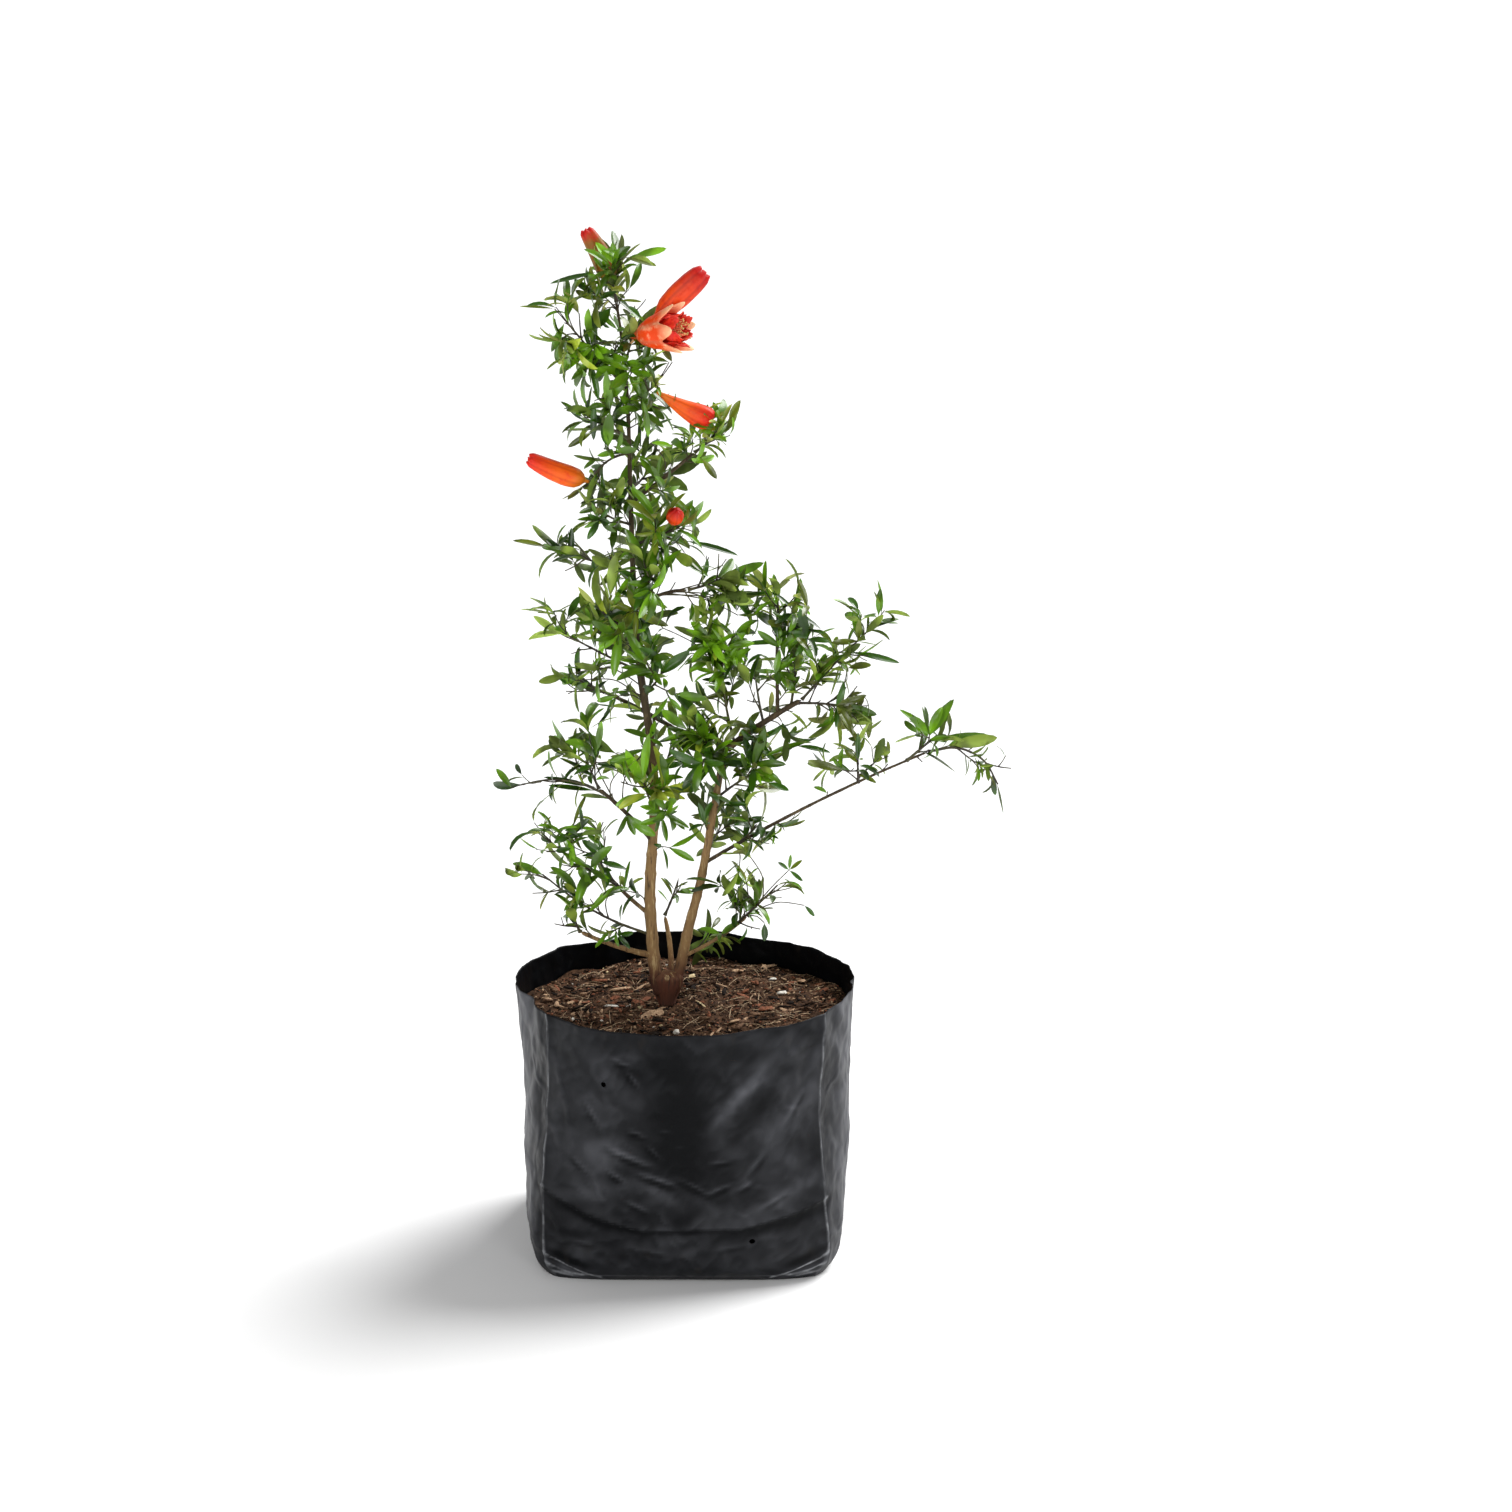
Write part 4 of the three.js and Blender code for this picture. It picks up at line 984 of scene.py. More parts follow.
def wrapped_grid(bm: bmesh.types.BMesh, around: int, stations: int, place: Place) -> list:
    """Wraps a grid round into one closed skin.

    Args:
        bm: the mesh it joins.
        around: the number of faces round it.
        stations: the number of faces along it.
        place: gives the points, in millimetres, of turns and shares from 0 to 1; the first
            and the last station are single points.

    Returns:
        The skin's vertices.
    """
    made = bmesh.ops.create_grid(bm, x_segments=around, y_segments=stations, size=0.5)["verts"]
    flat = np.array([v.co for v in made])
    turn = (np.round((flat[:, 0] + 0.5) * around) % around) / around
    share = np.clip(flat[:, 1] + 0.5, 0, 1)
    for vert, point in zip(made, place(turn, share)):
        vert.co = point
    bmesh.ops.remove_doubles(bm, verts=made, dist=1e-5)
    skin = [v for v in made if v.is_valid]
    faces = list({f for v in skin for f in v.link_faces})
    bmesh.ops.recalc_face_normals(bm, faces=faces)
    return skin


def one_by_one(rule: Callable[[float, float], Vector]) -> Place:
    """Returns the place of a grid's points from a rule for the angle and share of one."""
    return lambda turn, share: np.array([rule(t * 2 * math.pi, s) for t, s in zip(turn, share)])


def round_about(centre: Vector, side: Vector, over: Vector, angle: float,
                radius: float) -> Vector:
    """Returns the point at an angle and a radius round a centre."""
    return centre + side * (math.cos(angle) * radius) + over * (math.sin(angle) * radius)


def written(bm: bmesh.types.BMesh, name: str) -> bpy.types.Mesh:
    """Writes a mesh as it is, and frees the one it came from."""
    mesh = bpy.data.meshes.new(name)
    bm.to_mesh(mesh)
    bm.free()
    return mesh


def finish_mesh(bm: bmesh.types.BMesh, name: str, smooth: bool = True) -> bpy.types.Object:
    """Returns a mesh that is in millimetres as an object in metres, at the origin."""
    bmesh.ops.scale(bm, vec=(MM, MM, MM), verts=bm.verts)
    for face in bm.faces:
        face.smooth = smooth
    return link_object(name, written(bm, name))


def link_object(name: str, data: bpy.types.ID) -> bpy.types.Object:
    """Puts a mesh, a curve, a lamp or a camera into the scene as an object at the origin."""
    made = bpy.data.objects.new(name, data)
    bpy.context.scene.collection.objects.link(made)
    return made


def evaluated_mesh(piece: bpy.types.Object) -> bpy.types.Mesh:
    """Returns the mesh that a piece's modifiers or its curve make."""
    bpy.context.view_layer.update()
    ready = piece.evaluated_get(bpy.context.evaluated_depsgraph_get())
    return bpy.data.meshes.new_from_object(ready)


def settle_modifiers(piece: bpy.types.Object) -> None:
    """Applies a piece's modifiers, in place."""
    mesh = evaluated_mesh(piece)
    piece.modifiers.clear()
    piece.data = mesh


def numbers_of(items: bpy.types.bpy_prop_collection, key: str) -> np.ndarray:
    """Returns one whole number of every item of a mesh."""
    values = np.empty(len(items), np.int32)
    items.foreach_get(key, values)
    return values


def corners_of(mesh: bpy.types.Mesh) -> np.ndarray:
    """Returns the places of a mesh's vertices, as (vertex, 3)."""
    values = np.empty(len(mesh.vertices) * 3)
    mesh.vertices.foreach_get("co", values)
    return values.reshape(-1, 3)


def tiled_mesh(name: str, pattern: bpy.types.Mesh, places: np.ndarray,
               slots: np.ndarray | None = None) -> bpy.types.Object:
    """Joins many shaped copies of one small mesh.

    Args:
        name: the name of the piece.
        pattern: the mesh that is repeated.
        places: the corners of every copy, in millimetres, as (copy, corner, 3).
        slots: a material index for each copy; without it the pattern's own are used.

    Returns:
        The joined piece.
    """
    count, corners = places.shape[:2]
    loops = numbers_of(pattern.loops, "vertex_index")
    totals = numbers_of(pattern.polygons, "loop_total")
    mesh = bpy.data.meshes.new(name)
    mesh.vertices.add(count * corners)
    mesh.vertices.foreach_set("co", (places.reshape(-1) * MM).astype(np.float32))
    mesh.loops.add(count * len(loops))
    shifted = loops[None, :] + (np.arange(count, dtype=np.int32) * corners)[:, None]
    mesh.loops.foreach_set("vertex_index", shifted.reshape(-1))
    starts = np.concatenate([[0], np.cumsum(np.tile(totals, count))[:-1]])
    mesh.polygons.add(count * len(totals))
    mesh.polygons.foreach_set("loop_start", starts.astype(np.int32))
    if slots is None:
        index = np.tile(numbers_of(pattern.polygons, "material_index"), count)
    else:
        index = np.repeat(slots, len(totals))
    mesh.polygons.foreach_set("material_index", index.astype(np.int32))
    mesh.polygons.foreach_set("use_smooth", np.ones(count * len(totals), bool))
    mesh.update(calc_edges=True)
    mesh.set_sharp_from_angle(angle=math.radians(70))
    return link_object(name, mesh)


class Strands:
    """Many thin round strands, gathered and then made into one joined piece."""

    def __init__(self, name: str, roundness: int = 1) -> None:
        """Starts an empty bundle; `roundness` sets the number of sides."""
        self.name = name
        self.curve = bpy.data.curves.new(name, "CURVE")
        self.curve.dimensions = "3D"
        self.curve.bevel_depth = 1.0
        self.curve.bevel_resolution = roundness
        self.curve.use_fill_caps = True

    def add(self, points: Sequence[Vector], radii: Sequence[float]) -> None:
        """Adds one strand through points, with a radius at each, in millimetres."""
        spline = self.curve.splines.new("POLY")
        spline.points.add(len(points) - 1)
        for knot, point, radius in zip(spline.points, points, radii):
            knot.co = (*(point * MM), 1.0)
            knot.radius = radius * MM

    def finish(self) -> bpy.types.Object:
        """Returns the joined mesh, with its ends closed."""
        piece = link_object(self.name, self.curve)
        mesh = evaluated_mesh(piece)
        bpy.data.objects.remove(piece)
        bm = bmesh.new()
        bm.from_mesh(mesh)
        bmesh.ops.remove_doubles(bm, verts=bm.verts, dist=1e-7)
        bmesh.ops.recalc_face_normals(bm, faces=bm.faces)
        for face in bm.faces:
            face.smooth = True
        bm.to_mesh(mesh)
        bm.free()
        mesh.set_sharp_from_angle(angle=math.radians(60))
        return link_object(self.name, mesh)


def show(piece: bpy.types.Object, slot: str, *materials: bpy.types.Material,
         replaces: Iterable[str] = ()) -> bpy.types.Object:
    """Dresses a piece and gives it its place in the frame.

    Args:
        piece: the object.
        slot: not used.
        materials: its materials, in the order of its faces' indices.
        replaces: the frame's nodes that it stands for.

    Returns:
        The piece.
    """
    for material in materials:
        piece.data.materials.append(material)
    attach(piece, BODY)
    names = list(replaces)
    if names:
        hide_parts(*names)
    LOG.info("%s: %d faces", piece.name, len(piece.data.polygons))
    return piece


# ------------------------------------------------------------------ bag


@dataclass(frozen=True)
class RimPush:
    """A place where the mouth stands out or is drawn in."""

    heading: float
    spread: float
    push: float


@dataclass(frozen=True)
class FoldLine:
    """A crease across the front or the back of the bag, as (x, z) points."""

    knots: tuple[tuple[float, float], ...]
    width: float
    crest: float
    step: float
    shine: float


@dataclass(frozen=True)
class SheenPatch:
    """A patch or a wrinkle of painted sheen on the front of the bag; a negative strength is painted
    shade.
    """

    x: float
    z: float
    slope: float
    length: float
    width: float
    strength: float


@dataclass
class NurseryBag:
    """The filled film bag: a squarish foot that opens to a round, wavy mouth."""

    lay_flat: float = 350.0
    height: float = 178.0
    foot_half_width: float = 104.0
    foot_half_depth: float = 90.0
    foot_squareness: float = 6.5
    foot_rounding: float = 30.0
    foot_tuck: float = 0.075
    edge_rounding: float = 13.0
    edge_tuck: float = 0.1
    film: float = 0.5
    # Painted sheen: on the sides beside the gussets, and the level over the whole film.
    side_sheen: float = 0.36
    base_sheen: float = 0.19
    columns: int = 320
    drain_radius: float = 1.7
    drain_holes: tuple[tuple[float, float], ...] = (
        (-117, 140), (-65, 32), (-12, 40), (38, 96), (104, 30), (168, 62))
    pushes: tuple[RimPush, ...] = rows(
        RimPush,
        (123, 7, -5.0), (109, 5, 5.0), (69, 11, -8.0), (44, 6, -2.0), (-39, 6, 1.5),
        (-85, 26, 2.6), (-160, 9, -5.0), (22, 7, 1.5))
    gussets: tuple[tuple[float, float], ...] = (
        (-141.6, -137.7), (-37.4, -41.3), (138.0, 139.0), (40.0, 41.0))
    folds: tuple[FoldLine, ...] = rows(
        FoldLine,
        (((-98, 67), (-88, 62), (-80, 58.5), (-65, 52), (-51, 46.5), (-38, 42.5), (-27, 40.2),
          (0, 40.7), (36, 41.5), (92, 54.7), (99, 57)), 1.8, 1.3, 1.2, 0.4),
        (((-94, 19.5), (-86, 16.4), (-70, 9.5), (-54, 3), (-50, 1)), 1.4, 1.3, 1.8, 1.0),
        (((52, 1), (56, 3), (72, 9.5), (88, 16.4), (96, 19.5)), 1.4, 1.3, 1.8, 1.0),
        (((-92, 13), (-82, 8.5), (-62, 3.2)), 1.0, 0.7, 0.3, 0.8),
        (((64, 3.2), (84, 8.5), (94, 13)), 1.0, 0.7, 0.3, 0.8),
        (((-88, 6), (-80, 4.2), (-66, 2.6)), 0.8, 0.5, 0.2, 0.8),
        (((68, 2.6), (82, 4.2), (90, 6)), 0.8, 0.5, 0.2, 0.8),
        (((-86, 6), (-60, 5), (60, 5), (86, 6)), 0.8, 0.0, 0.0, 0.5),
    )
    # Patches of painted sheen; the negative ones are painted shade, such as the dark V in the
    # middle and the dark band under the fold.
    sheen_patches: tuple[SheenPatch, ...] = rows(
        SheenPatch,
        (-62, 104, 90, 62, 20, 0.13), (64, 104, 84, 62, 20, 0.13), (-2, 128, 90, 50, 18, -0.2),
        (4, 72, 90, 32, 9, -0.07), (39, 137, 49, 25, 4.2, 0.34), (50, 149, 40, 16, 6, 0.1),
        (-48, 146, -50, 26, 9, 0.12), (-56, 94, 8, 26, 12, 0.1), (-62, 66, 15, 26, 6, 0.14),
        (-14, 66, -32, 20, 4.5, 0.16), (14, 60, -38, 22, 4.5, 0.16), (62, 106, 62, 30, 8, 0.1),
        (64, 62, 24, 30, 6, 0.16), (8, 30, 0, 46, 8, 0.05), (84, 132, 84, 26, 5, 0.12),
        (-84, 100, 88, 40, 5, 0.1), (-60, 49, -21, 32, 4.2, -0.2), (60, 43, 14, 36, 4.0, -0.14),
        (50, 126, 46, 17, 4.5, -0.12), (-106, 90, 90, 80, 8, 0.22), (0, 24, 0, 90, 13, 0.05),
        (-75, 17, -20, 14, 2.8, -0.24), (77, 17, 20, 14, 2.8, -0.24), (-73, 6.5, -20, 13, 4, 0.2),
        (75, 6.5, 20, 13, 4, 0.2),
    )
    # Wrinkles painted as a light upper edge over a darker lower edge: painted highlight and painted
    # shade.
    wrinkles: tuple[SheenPatch, ...] = rows(
        SheenPatch,
        (-38, 156, -17, 6, 1.6, 0.26), (-32, 146, -54, 7, 1.6, 0.22),
        (-29, 109, -19, 5, 1.5, 0.22), (-19, 97, -48, 5, 1.5, 0.22), (-35, 92, -21, 11, 1.9, 0.34),
        (-42, 78, -35, 5, 1.8, 0.26), (-17, 77, -20, 11, 1.9, 0.32), (7, 72, -30, 9, 1.9, 0.3),
        (23, 70, 25, 7, 1.7, 0.28), (25, 90, 9, 7, 1.6, 0.24), (-10, 111, -12, 4, 1.4, 0.2),
        (-3, 101, -15, 4, 1.4, 0.2), (47, 87, 52, 8, 1.8, 0.24), (40, 72, 33, 5, 1.6, 0.22),
        (-58, 118, -60, 9, 1.6, 0.16), (-66, 84, -35, 8, 1.7, 0.16), (70, 118, 58, 10, 1.8, 0.18),
        (58, 60, 30, 8, 1.7, 0.2), (-30, 58, -25, 7, 1.6, 0.2), (-66, 30, -12, 8, 1.6, 0.14),
        (30, 27, 10, 9, 1.6, 0.12), (-20, 24, -8, 9, 1.6, 0.12),
    )

    @property
    def mouth_radius(self) -> float:
        """Radius of the circle that the bag opens to."""
        return self.lay_flat / math.pi

    def plain_radius(self, heading: np.ndarray, height: np.ndarray) -> np.ndarray:
        """Distance from the axis to the film, by heading in radians and height."""
        share = np.clip(height / self.height, 0, 1)
        slack = (1 - share) ** 2
        half_width = self.foot_half_width + (self.mouth_radius - self.foot_half_width) * share
        half_depth = self.mouth_radius - (self.mouth_radius - self.foot_half_depth) * slack
        power = 2 + (self.foot_squareness - 2) * slack * (1 - share)
        x = np.abs(np.cos(heading)) / half_width
        y = np.abs(np.sin(heading)) / half_depth
        curl = self.foot_tuck * np.clip(1 - height / self.foot_rounding, 0, 1) ** 1.6
        edge = self.edge_tuck * np.clip(1 - height / self.edge_rounding, 0, 1) ** 2
        curl = curl * np.cos(heading) ** 2 + edge * np.sin(heading) ** 2
        return (1 - curl) / (x ** power + y ** power) ** (1 / power)

    @staticmethod
    def _off(heading: np.ndarray, centre: np.ndarray | float) -> np.ndarray:
        """Degrees from a heading, the short way round."""
        return (np.degrees(heading) - centre + 180) % 360 - 180

    def _creases(self, heading: np.ndarray, height: np.ndarray) -> np.ndarray:
        """How far gussets and folds push the film out."""
        share = height / self.height
        push = np.zeros_like(height)
        for at_rim, at_foot in self.gussets:
            off = self._off(heading, at_foot + (at_rim - at_foot) * share)
            push += 1.1 * np.exp(-np.abs(off) / 1.6) - 0.5 * np.exp(-((np.abs(off) - 8) / 6) ** 2)
        for centre in (0.0, 180.0):
            off = self._off(heading, centre + 3 * np.sin(height / 31))
            push -= (0.9 + 1.2 * (1 - share) ** 2) * np.exp(-(off / 1.8) ** 2)
        radius = self.plain_radius(heading, height)
        x = np.cos(heading) * radius
        for fold in self.folds:
            line_x, line_z = zip(*fold.knots)
            over = height - np.interp(x, line_x, line_z)
            ends = np.clip((x - line_x[0]) / 8, 0, 1) * np.clip((line_x[-1] - x) / 8, 0, 1)
            ends = ends * np.clip(height / 6, 0, 1)
            push += ends * fold.crest * np.exp(-np.abs(over) / fold.width)
            push += ends * fold.step * (np.tanh(over / 1.4) - 1) * np.exp(-np.abs(over) / 22) / 2
        return push

    def _slack(self, heading: np.ndarray, height: np.ndarray) -> np.ndarray:
        """Dents, pulls and ripples of the soft film over its filling."""
        out = np.empty_like(height)
        for i, (a, z) in enumerate(zip(heading, height)):
            spot = Vector((math.cos(a), math.sin(a), 0))
            dent = noise.noise(spot * 2.1 + Vector((4, 0, z / 75)))
            pull = noise.noise(spot * 6.5 + Vector((0, 9, z / 20 + a * 1.2)))
            pucker = abs(noise.noise(spot * 13 + Vector((7, 3, z / 11 - a * 2.0))))
            near_foot = math.exp(-((z - 14) / 20) ** 2)
            near_rim = math.exp(-((self.height - z) / 13) ** 2)
            out[i] = 2.9 * dent + 1.5 * pull - 1.7 * pucker * (0.45 + 0.55 * near_foot)
            out[i] += 1.3 * near_rim * noise.noise(spot * 11 + Vector((1, 8, 2)))
        return out * np.clip(height / 10, 0, 1)

    def outside(self, heading: np.ndarray, height: np.ndarray) -> np.ndarray:
        """Distance from the axis to the creased film."""
        radius = self.plain_radius(heading, height)
        slip = np.exp(-((self.height - height) / 46) ** 2)
        for rim in self.pushes:
            radius += rim.push * slip * np.exp(-(self._off(heading, rim.heading) / rim.spread) ** 2)
        return radius + self._creases(heading, height) + self._slack(heading, height)

    def _stations(self) -> np.ndarray:
        """Heights of the wall's rings, closer together at the foot and the mouth."""
        return np.concatenate([
            np.arange(0, 16, 1.0), np.arange(16, 62, 1.7), np.arange(62, 160, 2.2),
            np.arange(160, self.height, 1.5), [self.height]])

    def build(self) -> bpy.types.Object:
        """Builds the bag with its wall's thickness and its drain holes."""
        heights = self._stations()
        floor_shares = np.linspace(0, 1, 7)[:-1]
        rings = len(floor_shares) + len(heights) - 1
        lift = np.concatenate([np.zeros(len(floor_shares)), heights])
        reach = np.concatenate([floor_shares, np.ones(len(heights))])

        def place(turn: np.ndarray, share: np.ndarray) -> np.ndarray:
            """Puts each grid point on the film."""
            ring = np.round(share * rings).astype(int)
            heading = turn * 2 * math.pi - math.pi
            z = lift[ring]
            radius = self.outside(heading, z) * reach[ring]
            wave = [noise.noise(Vector((math.cos(a) * 3, math.sin(a) * 3, 5))) for a in heading]
            drop = np.clip((z - 150) / 28, 0, 1) ** 2 * (1.8 * np.array(wave) - 0.6)
            return np.stack([np.cos(heading) * radius, np.sin(heading) * radius, z + drop], 1)

        bm = bmesh.new()
        wrapped_grid(bm, self.columns, rings, place)
        bag = finish_mesh(bm, "bag_film")
        wall = bag.modifiers.new("wall", "SOLIDIFY")
        wall.thickness = self.film * MM
        wall.offset = -1
        settle_modifiers(bag)
        self._punch(bag)
        self._mark(bag.data)
        return bag

    def _mark(self, mesh: bpy.types.Mesh) -> None:
        """Writes the film's `crease` attribute, painted highlights along the gussets and folds, and
        its attribute of painted sheen and shade.
        """
        x, y, z = corners_of(mesh).astype(np.float32).T / MM
        heading = np.arctan2(y, x)
        crease = np.zeros_like(x)
        # Painted highlights along the gussets and along the crests of the folds.
        for at_rim, at_foot in self.gussets:
            off = self._off(heading, at_foot + (at_rim - at_foot) * z / self.height)
            crease += 0.8 * np.exp(-(off / 0.75) ** 2)
        along = x * np.where(y > 0, -1, 1)
        for fold in self.folds:
            line_x, line_z = zip(*fold.knots)
            ends = np.clip((along - line_x[0]) / 5, 0, 1) * np.clip((line_x[-1] - along) / 5, 0, 1)
            over = z - np.interp(along, line_x, line_z)
            crease += fold.shine * ends * np.exp(-(over / 1.1) ** 2)
        # Painted light and shade from the film's slope: lighter where it faces up, darker where it
        # faces down, fading towards the foot.
        above = np.minimum(z + 1.0, self.height)
        below = np.maximum(z - 1.0, 0.0)
        slope = (self._creases(heading, below) + self._slack(heading, below)
                 - self._creases(heading, above) - self._slack(heading, above)) / 2
        slope_shade = np.clip(slope * 0.45, -0.1, 0.2) * np.clip(0.3 + z / 60, 0, 1)
        sheen_and_shade = self.base_sheen + slope_shade
        # Adds the patches of painted sheen and shade and the painted wrinkles.
        for mark in (*self.sheen_patches, *self.wrinkles):
            turn = math.radians(mark.slope)
            run = ((along - mark.x) * math.cos(turn) + (z - mark.z) * math.sin(turn)) / mark.length
            off = ((z - mark.z) * math.cos(turn) - (along - mark.x) * math.sin(turn)) / mark.width
            band = np.exp(-off ** 2)
            if mark in self.wrinkles:
                band = np.exp(-(off - 0.6) ** 2) - 0.8 * np.exp(-(off + 0.9) ** 2)
            sheen_and_shade += mark.strength * np.exp(-run ** 2) * band
        # Painted reflection on the strips of the sides that face the front.
        front = np.clip((12 - y) / 30, 0, 1)
        sheen_and_shade += self.side_sheen * front * np.clip((np.abs(x) - 92) / 14, 0, 1)
        outer = np.hypot(x, y) > self.outside(heading, z) - self.film / 2
        for name, values in (("crease", crease), ("sheen_and_shade", sheen_and_shade)):
            values = np.where(outer, np.clip(values, 0, 1), 0.02)
            layer = mesh.attributes.new(name, "FLOAT", "POINT")
            layer.data.foreach_set("value", values.astype(np.float32))

    def _punch(self, bag: bpy.types.Object) -> None:
        """Cuts the drain holes through the wall."""
        bm = bmesh.new()
        for heading, height in self.drain_holes:
            a = math.radians(heading)
            radius = float(self.outside(np.array([a]), np.array([float(height)]))[0])
            made = bmesh.ops.create_cone(bm, cap_ends=True, segments=20, depth=9,
                                         radius1=self.drain_radius, radius2=self.drain_radius)
            out = Vector((math.cos(a), math.sin(a), 0))
            turn = Z_AXIS.rotation_difference(out).to_matrix()
            bmesh.ops.rotate(bm, verts=made["verts"], matrix=turn, cent=(0, 0, 0))
            bmesh.ops.translate(bm, verts=made["verts"], vec=out * radius + Z_AXIS * height)
        punch = finish_mesh(bm, "punch", smooth=False)
        cut = bag.modifiers.new("holes", "BOOLEAN")
        cut.operation = "DIFFERENCE"
        cut.solver = "EXACT"
        cut.object = punch
        settle_modifiers(bag)
        bpy.data.objects.remove(punch)


# ------------------------------------------------------------------ potting mix


@dataclass(frozen=True)
class MixPiece:
    """A single piece on the bed that stands out from the rest."""

    x: float
    y: float
    heading: float
    length: float
    width: float
    kind: int


@dataclass(frozen=True)
class Litter:
    """One kind of loose piece that is scattered over the bed.

    `size` is the least and the greatest length, `flat` are length, width and thickness as
    shares of it, and `deal` holds the material indices, a common one more than once.
    """

    name: str
    lump: int
    roundness: int
    count: int
    seed: int
    size: tuple[float, float]
    flat: tuple[float, float, float]
    deal: tuple[int, ...]


CHIPS = Litter("bark_chips", 11, 2, 1500, 301, (2.2, 10.0), (1.0, 0.36, 0.18),
               (0, 0, 0, 1, 1, 1, 2, 2, 2, 3, 4))
FLAKES = Litter("bark_flakes", 14, 2, 46, 305, (8.0, 20.0), (1.0, 0.3, 0.09),
                (1, 1, 3, 3, 4, 4, 0))
CRUMBS = Litter("fine_crumbs", 12, 1, 6000, 302, (1.0, 3.2), (1.0, 0.7, 0.5),
                (0, 0, 0, 1, 1, 2, 2, 3, 4))
PERLITE = Litter("perlite", 13, 2, 34, 303, (1.2, 5.0), (1.0, 0.8, 0.7), (0, 1, 1))


@dataclass
class PottingMix:
    """The bed of bark and coir in the bag, with its loose chips, fibres and perlite."""

    bag: NurseryBag
    top: float = BED_TOP
    slump: float = 2.5
    skirt: float = 118.0
    skirt_share: float = 0.95
    relief: float = 2.3
    fibres: int = 200
    pieces: tuple[MixPiece, ...] = rows(
        MixPiece,
        (3, 58, 40, 9, 6, 5), (-44, 29, 12, 15, 4, 4), (-49, -8, -22, 12, 3, 6),
        (-89, 34, 80, 10, 3.5, 4), (55, 83, 20, 12, 4, 4), (64, 24, 10, 7, 5, 6),
        (53, -13, 5, 11, 7, 3), (-21, -27, 75, 9, 3, 4), (-27, 6, 60, 12, 5, 3),
        (33, -43, 30, 8, 3, 4), (58, 54, 15, 5, 4, 6), (21, 38, -55, 26, 1.6, 4),
        (-76, 2, 35, 11, 3.5, 4), (10, -4, -70, 24, 1.6, 5), (17, -65, 70, 16, 1.8, 4),
        (-58, 50, -10, 14, 4, 3), (92, 30, 50, 9, 4, 3),
    )

    def height_at(self, x: float, y: float) -> float:
        """Height of the bed's surface."""
        reach = math.hypot(x, y) / self.bag.mouth_radius
        lump = noise.noise(Vector((x / 17, y / 17, 3)))
        lump += 0.5 * noise.noise(Vector((x / 6, y / 6, 8)))
        return self.top - self.slump * reach ** 4 + self.relief * lump - 1.2

    def bed(self) -> bpy.types.Object:
        """Builds the bed: a lumpy disc with a closed skirt inside the film."""
        shares = np.concatenate([np.linspace(0, 1, 61), [1.0, 1.0, 0.0]])
        drops = np.concatenate([np.zeros(61), [0.06, 1.0, 1.0]])
        rings = len(shares) - 1

        def place(turn: np.ndarray, share: np.ndarray) -> np.ndarray:
            """Puts each grid point on the bed."""
            ring = np.round(share * rings).astype(int)
            heading = turn * 2 * math.pi
            levels = [np.full_like(heading, self.top - drop) for drop in (0, 2.5, 5, 8)]
            films = [self.bag.outside(heading, level) for level in levels]
            wall = np.min(films, axis=0) - self.bag.film - 0.35
            radius = wall * shares[ring]
            x = np.cos(heading) * radius
            y = np.sin(heading) * radius
            z = np.array([self.height_at(a, b) for a, b in zip(x, y)])
            z = z - drops[ring] * (z - self.skirt)
            low = self.bag.outside(heading, np.full_like(heading, self.skirt)) - self.bag.film - 0.6
            inner = np.minimum(1, low / wall)
            scale = np.where(drops[ring] > 0, np.minimum(inner, self.skirt_share), 1)
            return np.stack([x * scale, y * scale, z], 1)

        bm = bmesh.new()
        wrapped_grid(bm, 240, rings, place)
        return finish_mesh(bm, "mix_bed")

    def _wall(self, heading: float) -> float:
        """Returns the least distance from the axis to the film beside the bed's top."""
        levels = np.array([self.top - 8, self.top - 4, self.top])
        return float(self.bag.outside(np.full(3, heading), levels).min())

    def _spot(self, draw: DrawStream, margin: float) -> Vector:
        """Returns a random place on the bed, clear of the film by a margin."""
        a = draw.between(-math.pi, math.pi)
        reach = math.sqrt(draw()) * (self._wall(a) - margin)
        x = math.cos(a) * reach
        y = math.sin(a) * reach
        return Vector((x, y, self.height_at(x, y)))

    @staticmethod
    def _crumb(subdivisions: int, seed: int) -> bpy.types.Mesh:
        """Returns a rough lump, about one across, as the pattern of a crumb."""
        draw = DrawStream(seed)
        bm = bmesh.new()
        bmesh.ops.create_icosphere(bm, subdivisions=subdivisions, radius=0.5)
        for vert in bm.verts:
            vert.co *= draw.between(0.72, 1.18)
        return written(bm, "crumb")

    def scatter(self, kind: Litter) -> bpy.types.Object:
        """Scatters turned and stretched copies of a lump over the bed."""
        draw = DrawStream(kind.seed)
        pattern = self._crumb(kind.roundness, kind.lump)
        corners = corners_of(pattern)
        least, greatest = kind.size
        places = []
        slots = []
        for _ in range(kind.count):
            length = least + (greatest - least) * draw() ** 2.2
            spot = self._spot(draw, 2.5 + length * 0.55)
            ahead = direction(360 * draw(), draw.between(-16, 22))
            side, over = frame_of(ahead)
            tilt = math.radians(draw.between(-40, 40))
            wide = side * math.cos(tilt) + over * math.sin(tilt)
            thick = over * math.cos(tilt) - side * math.sin(tilt)
            uneven = np.array([1, draw.between(0.6, 1.4), draw.between(0.6, 1.4)])
            scale = np.array(kind.flat) * length * uneven
            axes = np.array([ahead, wide, thick])
            spot.z += scale[2] * draw.between(0.0, 1.1)
            places.append((corners * scale) @ axes + np.array(spot))
            slots.append(kind.deal[int(draw() * len(kind.deal))])
        return tiled_mesh(kind.name, pattern, np.array(places), np.array(slots))

